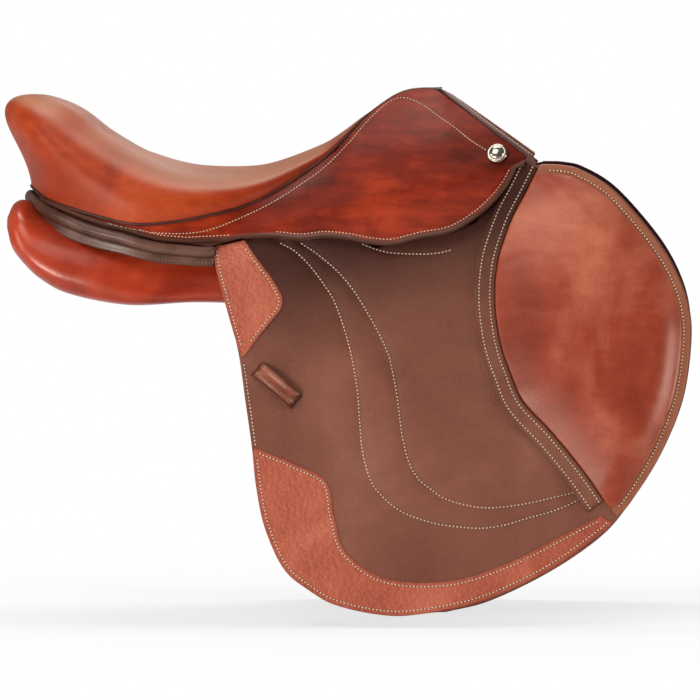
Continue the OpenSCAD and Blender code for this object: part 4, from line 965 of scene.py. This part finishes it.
LOWER_OUT = np.array([
    [-0.011, 0.495], [-0.022, 0.585], [-0.024, 0.68], [-0.005, 0.78], [0.038, 0.843], [0.093, 0.895],
    [0.20, 0.947], [0.31, 0.965], [0.423, 0.965], [0.568, 0.935], [0.697, 0.884], [0.73, 0.865]]) * FLAP_SIZES
# Both outer edges are drawn out towards the flap's edge
HEM_SHIFT, KNEE_SHIFT = -1.6, 2.0
LOWER_OUT, KNEE_FRONT = beside(LOWER_OUT, HEM_SHIFT), beside(KNEE_FRONT, KNEE_SHIFT)
NOTCH_REAR, NOTCH_FRONT, NOTCH_RAMP, NOTCH_DEPTH, NOTCH_FADE = 148, 242, 24, 38, 95
SEWN_IN, SEWN_ROUND, SEWN_BURN, BURN_WIDTH, THINNEST = 0.3, 0.9, 0.4, 2.0, 0.15
# Insets of the stitching, its pitch on the sweat flap, and the stretch of the rear edge with its own row
STRIP_STITCH, PATCH_STITCH, HEM_IN_STITCH, HEM_OUT_STITCH = 4.5, 3.4, 3.6, 4.2
EDGE_STITCH, KNEE_STITCH, SWEAT_STITCH, SWEAT_PITCH = 3.6, 6, 5, 4.2
BARE_EDGE = np.array([0.285, 0.49]) * FLAP_DROP
# Height of the seam strip over its leather, and of the threads over their leather
STRIP_RISE, STRIP_LIFT, KNEE_LIFT, EDGE_LIFT = 1.2, 0.9, 0.6, 0.7
# Quilting: grooves along the stitching, hollows round them, the swell between, and waves
QUILT_SINK, QUILT_GROOVE, QUILT_HOLLOW = 2.1, (1.3, 4), (1.0, 11)
QUILT_SWELL, SHORT_GROOVE, WAVE, RIPPLE = (0.6, 16), (0.7, 3.0), 0.35, 0.25
WAVES_START, WAVES_END = (150, 60), (190, -90)
# Knee pad: its slopes from the front and rear edges, the groove along its stitching, and the creases
KNEE_FRONT_RISE, KNEE_REAR_RISE, KNEE_GROOVE, CREASE = (8, 27), (-4, 78), (0.5, 7.5, 2), (0.45, 4.5)
# Shade under the skirt and along the knee pad's hem: its share, and the start and run of its fading
SKIRT_SHADE, FLAP_FADES, STRIP_FADES = 0.9, (25, 120), (25, 130)
HEM_SHADE, HEM_FADES = 0.75, (6, 5)
FRONT_FADES = (0.72 * FLAP_SPAN, 25)

# Stitch lines on the flap, as seen in the photograph
OUTER_CURVE_PX = [
    (280, 244), (295, 252), (310, 266), (324, 284), (335, 301), (344, 324), (351, 347), (356, 370),
    (360, 396), (362, 422), (365, 450), (373, 478), (384, 493), (401, 507), (419, 515), (440, 521),
    (463, 524), (484, 525), (506, 522), (530, 515), (552, 509), (570, 502), (581, 496)]
INNER_CURVE_PX = [
    (301, 244), (319, 256), (338, 272), (353, 289), (368, 312), (381, 335), (390, 355), (395, 375),
    (399, 396), (402, 419), (405, 438), (411, 460), (420, 476), (433, 487), (447, 496), (466, 502),
    (486, 505), (506, 504), (527, 501), (550, 496), (579, 489)]
SHORT_CURVE_PX = [(362, 245), (379, 251), (394, 254), (420, 255), (438, 254), (452, 251)]
KNEE_CREASES_PX = [[(536, 176), (548, 184), (556, 195)], [(508, 262), (522, 256), (541, 254)],
                   [(512, 300), (540, 309), (566, 306)]]


def notched(pq):
    """The top of the flap is cut away over the stirrup bar."""
    p, q = pq[..., 0], pq[..., 1]
    depth = NOTCH_DEPTH * np.maximum(0, 1 - q / NOTCH_FADE)
    depth = depth * ease((p - NOTCH_REAR + NOTCH_RAMP) / NOTCH_RAMP)
    depth = depth * ease((NOTCH_FRONT + NOTCH_RAMP - p) / NOTCH_RAMP)
    return np.stack([p, q + depth], -1)


def between(a, b, step, edge=3):
    """Grid between two rails, with more rows near its edges."""
    a, b = smooth(a, 200), smooth(b, 200)
    wide = np.linalg.norm(a - b, axis=1).max()
    s, w = shares(np.linalg.norm(np.diff(a, axis=0), axis=1).sum(), step, edge), shares(wide, step, edge)
    a, b = (read_off(s * (len(line) - 1), np.arange(len(line)), line) for line in (a, b))
    return ruled(a, b, w)


def outline(pq):
    return np.concatenate([pq[0], pq[1:, -1], pq[-1, -2::-1], pq[-2::-1, 0]])


def inset_line(line, d, pq):
    """A line moved to the inside of a sheet, with its ends drawn in as well."""
    middle = pq.reshape(-1, 2).mean(0)
    mid = len(line) // 2
    near = min(beside(line, d), beside(line, -d), key=lambda moved: np.linalg.norm(moved[mid] - middle))
    run = walked(near)
    return near[(run > d) & (run < run[-1] - d)]


def sewn(name, node, slot, material, pq, low, thick, side, body, edge_r=SEWN_ROUND, swell=0.0, burn=SEWN_BURN,
         shade=0.0):
    """A leather sheet on the side face with rounded edges."""
    d = distance(pq, outline(pq))
    # Darkened edges, and painted shade where a shade share is given
    dark = np.maximum(burn * dip(d, BURN_WIDTH), shade)
    high = low + np.maximum(thick - rolled(d, edge_r) + swell, THINNEST)
    obj = slab(name, side_point(pq, high), side_point(pq, low), material, side, dark)
    return dress(obj, body, slot, node)


def face_row(name, pq, lift, side, body, pitch=STITCH_PITCH):
    """A row of stitches on the side face."""
    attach(stitches(name, side_point(pq, lift), side_normal(pq), side, pitch), body)


def quilting(pq, outer, inner, short):
    """Height of the flap's face: sunk along its stitching, with soft waves between."""
    to_outer, to_inner = distance(pq, outer), distance(pq, inner)
    groove = lambda d, depth, width: depth * dip(d, width)
    quilt = sum(-groove(d, *QUILT_GROOVE) - groove(d, *QUILT_HOLLOW) for d in (to_outer, to_inner))
    swell, reach = QUILT_SWELL
    quilt = quilt + swell * ease(np.minimum(to_outer, to_inner) / reach)
    quilt = quilt - groove(distance(pq, short), *SHORT_GROOVE)
    p, q = pq[..., 0], pq[..., 1]
    waves = np.sin((p + 0.7 * q) / 17 + 1.4 * np.sin(q / 41)) * fade(p, *WAVES_START) * fade(q, *WAVES_END)
    return quilt + WAVE * waves + RIPPLE * np.sin(p / 23 + q / 31) * np.sin(q / 37 - p / 61)


def stuffing(pq, front_d, rear_d):
    """Height of the knee pad over its edge, with a groove along its stitching and a few creases."""
    puff = lambda d, start, run: np.sin(math.pi / 2 * np.clip((d - start) / run, 0, 1)) ** 0.9
    crown = KNEE_CROWN * puff(front_d, *KNEE_FRONT_RISE) * puff(rear_d, *KNEE_REAR_RISE)
    depth, place, width = KNEE_GROOVE
    crown = crown - depth * dip(front_d - place, width)
    depth, width = CREASE
    for crease in KNEE_CREASES_PX:
        crown = crown - depth * dip(distance(pq, smooth(from_photo(crease), 30)), width)
    return crown


def flaps():
    outer, inner, short = (smooth(from_photo(curve), 140)
                           for curve in (OUTER_CURVE_PX, INNER_CURVE_PX, SHORT_CURVE_PX))
    whole = notched(between(FLAP_REAR, FLAP_FRONT, 2.6))
    strip_line, strip_edge, knee_edge = smooth(STRIP, 160), smooth(STRIP, 60), smooth(KNEE_FRONT, 160)
    strip = between(beside(strip_edge, -STRIP_WIDTH), strip_edge, 2.2, 2)
    patch, lower = between(PATCH_REAR, PATCH_FRONT, 3), between(LOWER_IN, LOWER_OUT, 3)
    knee = between(beside(strip_edge, FIT_GAP), KNEE_FRONT, 2.6)
    front_d, rear_d = distance(knee, knee_edge), distance(knee, strip_line)
    flap_shade = SKIRT_SHADE * (1 - fade(whole[..., 1], *FLAP_FADES))
    flap_shade = flap_shade * (1 - fade(whole[..., 0], *FRONT_FADES))
    strip_shade = SKIRT_SHADE * (1 - fade(strip[..., 1], *STRIP_FADES))
    hem_shade = HEM_SHADE * (1 - fade(front_d, *HEM_FADES))
    sunk, level = PATCH_LIFT - SEWN_IN, PATCH_LIFT + PATCH_LEATHER
    rear_edge = smooth(FLAP_REAR, 200)
    bare = rear_edge[(rear_edge[:, 1] > BARE_EDGE[0]) & (rear_edge[:, 1] < BARE_EDGE[1])]
    rows = {"flap_stitch_outer": (outer, FLAP_LEATHER - QUILT_SINK),
            "flap_stitch_inner": (inner, FLAP_LEATHER - QUILT_SINK),
            "flap_stitch_short": (short, FLAP_LEATHER),
            "strip_stitch_front": (beside(strip_line, -STRIP_STITCH), level + STRIP_LIFT),
            "strip_stitch_rear": (beside(strip_line, STRIP_STITCH - STRIP_WIDTH), level + STRIP_LIFT),
            "patch_stitch_front": (beside(smooth(PATCH_FRONT, 80), -PATCH_STITCH)[4:-5], level),
            "patch_stitch_rear": (beside(smooth(PATCH_REAR, 60), PATCH_STITCH)[2:-5], level),
            "hem_stitch_inner": (beside(smooth(LOWER_IN, 160), -HEM_IN_STITCH)[2:-3], level),
            "hem_stitch_outer": (beside(smooth(LOWER_OUT, 160), HEM_OUT_STITCH)[3:-3], level),
            "knee_stitch": (inset_line(knee_edge, KNEE_STITCH, knee), level + KNEE_LIFT),
            "edge_stitch": (beside(bare, EDGE_STITCH), FLAP_LEATHER + EDGE_LIFT)}
    quilt, crown = quilting(whole, outer, inner, short), stuffing(knee, front_d, rear_d)
    for side, tag in SIDES:
        body = "flap_" + tag
        sewn("flap_panel_" + tag, "flap_" + tag, "brown_leather", BROWN, whole, 0, FLAP_LEATHER, side, body,
             edge_r=1.8, swell=quilt, burn=0.2, shade=flap_shade)
        sewn("seam_strip_sewn_" + tag, "seam_strip_" + tag, "brown_leather", BROWN, strip, sunk,
             PATCH_LEATHER + STRIP_RISE, side, body, edge_r=1.1, shade=strip_shade)
        for name, pq in (("rear_patch_", patch), ("lower_patch_", lower)):
            sewn(name + "sewn_" + tag, name + tag, "grained_leather", GRAINED, pq, sunk,
                 PATCH_LEATHER + SEWN_IN, side, body)
        pad = sewn("knee_roll_" + tag, "knee_pad_" + tag, "knee_leather", KNEE_RED, knee, sunk,
                   KNEE_EDGE + SEWN_IN, side, body, edge_r=1.4, swell=crown, burn=0, shade=hem_shade)
        for name, (line, lift) in rows.items():
            face_row("%s_%s" % (name, tag), line, lift, side, body)


# Strap keeper: a folded strap arched over its opening
KEEPER_PLACE, KEEPER_TURN = np.array([0.072, 0.36]) * FLAP_SIZES, math.radians(54)
KEEPER_SINK, KEEPER_RIDGE, KEEPER_ROUND, KEEPER_STITCH = 1.5, 1.4, 2.0, 0.27
KEEPER_PITCH, KEEPER_SIZE, KEEPER_END_SHADE = 3.0, 0.7, (0.36, 0.14)


def keepers():
    middle = side_point(KEEPER_PLACE, PATCH_LIFT)
    step_p, step_q = (unit(side_point(KEEPER_PLACE + step, PATCH_LIFT) - middle) for step in ([1, 0], [0, 1]))
    out = unit(np.cross(step_p, step_q))
    run = unit(math.cos(KEEPER_TURN) * step_p + math.sin(KEEPER_TURN) * step_q)
    across = np.cross(out, run)
    s = 0.5 * np.sin(np.linspace(-math.pi / 2, math.pi / 2, 60))
    w = shares(KEEPER_WIDTH, 0.7, 1.5) - 0.5
    height = KEEPER_GAP * np.sqrt(np.maximum(0, 1 - np.abs(2 * s) ** 3))
    edge_d = (0.5 - np.abs(w)) * KEEPER_WIDTH
    ridge = KEEPER_RIDGE * dip((np.abs(w) - 0.3) * KEEPER_WIDTH, 2.6)
    thick = KEEPER_LEATHER + ridge - rolled(edge_d, KEEPER_ROUND)
    base = middle + s[:, None, None] * KEEPER_LENGTH * run + w[:, None] * KEEPER_WIDTH * across
    low = base + (height[:, None, None] - KEEPER_SINK) * out
    top = low + np.maximum(thick, 0.2)[:, None] * out
    normals = grid_normals(top)
    normals = normals * np.sign(normals @ out)[..., None]
    # Darkened edges, and painted shade towards both ends where the loop dips to the flap
    dark = np.maximum(dip(edge_d, 1.5), fade(np.abs(s), *KEEPER_END_SHADE)[:, None])
    for side, tag in SIDES:
        obj = slab("strap_loop_" + tag, top, low, KEEPER, side, dark)
        dress(obj, "flap_" + tag, "keeper_leather", "strap_keeper_" + tag)
        for name, share in (("upper", -KEEPER_STITCH), ("lower", KEEPER_STITCH)):
            k = np.argmin(np.abs(w - share))
            row = stitches("loop_stitch_%s_%s" % (name, tag), top[9:-9, k], normals[9:-9, k], side,
                           KEEPER_PITCH, KEEPER_SIZE, KEEPER_THREAD)
            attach(row, "flap_" + tag)


# Sweat flaps under the billets
SWEAT_REAR = np.array([
    [0.05, 0.13], [0.05, 0.30], [0.04, 0.50], [0.05, 0.70], [0.12, 0.85], [0.30, 0.92]]) * FLAP_SIZES
SWEAT_FRONT = np.array([
    [0.80, 0.13], [0.90, 0.25], [0.93, 0.40], [0.90, 0.55], [0.80, 0.72], [0.60, 0.87],
    [0.34, 0.92]]) * FLAP_SIZES


def sweat_flaps():
    pq = between(SWEAT_REAR, SWEAT_FRONT, 6)
    for side, tag in SIDES:
        sewn("sweat_flap_sewn_" + tag, "sweat_flap_" + tag, "brown_leather", BROWN, pq, SWEAT_LIFT,
             SWEAT_LEATHER, side, "saddle", edge_r=1.6)
        for name, rail in (("rear", SWEAT_REAR), ("front", SWEAT_FRONT)):
            face_row("sweat_stitch_%s_%s" % (name, tag), inset_line(smooth(rail, 120), SWEAT_STITCH, pq),
                     SWEAT_LIFT + SWEAT_LEATHER, side, "saddle", SWEAT_PITCH)


# Pommel studs: a plain polished dome in a stepped rim
DOME = np.linspace(0, math.pi / 2, 18)
STUD_PROFILE = np.concatenate([
    [[0, 0], [1, 0], [1, 0.16], [0.97, 0.26], [0.92, 0.32], [0.86, 0.35], [0.80, 0.36]],
    np.stack([0.76 * np.cos(DOME), mix(0.36, 1, np.sin(DOME))], -1)])


def studs():
    points = np.array([v.co for v in frame["nodes"]["pommel_studs"].data.vertices])
    left = points[points[:, 1] > 0] / MM
    # The stud's own axis is the direction in which its rim's points spread least
    axis = np.linalg.svd(left - left.mean(0))[2][2]
    axis = axis * np.sign(axis[1])
    foot = left.mean(0) + ((left @ axis).min() - left.mean(0) @ axis) * axis
    turn = full_turn(64)[:, None]
    u = unit(np.cross(axis, [0, 0, 1.0]))
    v = np.cross(axis, u)
    rings = [foot + STUD_D / 2 * r * (np.cos(turn) * u + np.sin(turn) * v) + h * STUD_RISE * axis
             for r, h in STUD_PROFILE[1:-1]]
    points = np.concatenate([[foot], *rings, [foot + STUD_RISE * axis]])
    k, n = len(turn), len(rings)
    last = 1 + (n - 1) * k
    faces = [[0, 1 + (j + 1) % k, 1 + j] for j in range(k)]
    faces += copied(ring_faces(n, k)[:-2], 1, len(points), 1)
    faces += [[last + j, last + (j + 1) % k, 1 + n * k] for j in range(k)]
    for side, tag in SIDES:
        dress(make("pommel_stud_" + tag, points, faces, [CHROME], side), "saddle", "chrome", "pommel_studs")


# Carried-over solids and their finishes
def carried():
    finish = {"tree": WOOD, "tree_head": WOOD, "tree_side": WOOD, "head_plate": STEEL, "cantle_plate": STEEL,
              "tree_springs": STEEL, "tree_rivets": STEEL, "panel_studs": STEEL, "stirrup_bar": STEEL,
              "catch_pins": STEEL, "bar_catch": STEEL, "strainer_web": WEB, "girth_webs": WEB,
              "gullet_lining": PANEL_RED}
    for name, obj in frame["nodes"].items():
        stem = name[:-2] if name.endswith(("_l", "_r")) else name
        obj.data.materials.clear()
        obj.data.materials.append(finish.get(stem, BROWN))


# Floor, lights and camera
FLOOR_Z, FLOOR_HALF = -0.292, 6
PAPER, WORLD_STRENGTH = (0.9, 0.9, 0.9, 1), 0.16
LAMPS = {"key": ((-0.9, -1.6, 2.2), (1.5, 1.5), 29), "fill": ((2.9, -0.8, 0.25), (0.4, 1.0), 34),
         "low": ((-1.3, -2.3, -0.12), (0.8, 0.26), 30), "left": ((-2.4, -1.2, 0.5), (0.9, 1.0), 17),
         "top": ((-0.1, 0.5, 2.3), (1.6, 1.0), 34), "back": ((0.6, 2.6, 1.4), (1.6, 1.2), 9)}


def backdrop():
    """A pale floor that the camera sees fade to white away from the saddle."""
    material, tree, shader, place = new_material("pale_paper")
    fill(tree, shader, Base_Color=PAPER, Roughness=0.9)
    glow = add(tree, "Emission", "Emission", Color=WHITE)
    away = add(tree, "VectorMath", "Value", place, operation="LENGTH")
    white = add(tree, "MapRange", "Result", Value=away, From_Min=0.3, From_Max=0.9, To_Min=0.7, To_Max=1.0)
    seen = add(tree, "LightPath", "Is Camera Ray")
    part = add(tree, "Math", "Value", seen, white, operation="MULTIPLY")
    blend = add(tree, "MixShader", "Shader", part, shader.outputs["BSDF"], glow)
    fill(tree, tree.nodes["Material Output"], Surface=blend)
    mesh = bpy.data.meshes.new("floor")
    corners = [(FLOOR_HALF * x, FLOOR_HALF * y, FLOOR_Z) for x, y in ((-1, -1), (1, -1), (1, 1), (-1, 1))]
    mesh.from_pydata(corners, [], [[0, 1, 2, 3]])
    mesh.materials.append(material)
    place_object("floor", mesh)


def world():
    """Soft light from all round, seen by the camera as white."""
    studio = bpy.data.worlds.new("studio")
    bpy.context.scene.world = studio
    studio.use_nodes = True
    tree = studio.node_tree
    soft = tree.nodes["Background"]
    fill(tree, soft, Color=WHITE, Strength=WORLD_STRENGTH)
    white = add(tree, "Background", "Background", Color=WHITE)
    seen = add(tree, "LightPath", "Is Camera Ray")
    blend = add(tree, "MixShader", "Shader", seen, soft.outputs["Background"], white)
    fill(tree, tree.nodes["World Output"], Surface=blend)


def aim(obj, place, target):
    place, target = Vector(place), Vector(target)
    obj.location = place
    obj.rotation_euler = (target - place).to_track_quat("-Z", "Y").to_euler()


def lamp(name, place, size, power):
    data = bpy.data.lights.new(name, "AREA")
    data.shape, data.size, data.size_y, data.energy = "RECTANGLE", *size, power
    aim(place_object(name, data), place, (0, 0, 0))


def camera():
    data = bpy.data.cameras.new("photo_view")
    data.lens = data.sensor_width * VIEW_DISTANCE / VIEW_WIDTH
    data.clip_end = VIEW_CLIP
    obj = place_object("photo_view", data)
    aim(obj, VIEW_TARGET + VIEW_DISTANCE * view_axes()[2], VIEW_TARGET)
    bpy.context.scene.camera = obj


carried()
seat()
seat_welt()
pommel()
arch_lining()
skirts()
cantle_band()
panels()
flaps()
keepers()
sweat_flaps()
studs()
backdrop()
world()
for name, (place, size, power) in LAMPS.items():
    lamp(name, place, size, power)
camera()
bpy.context.scene.view_settings.view_transform = "Standard"
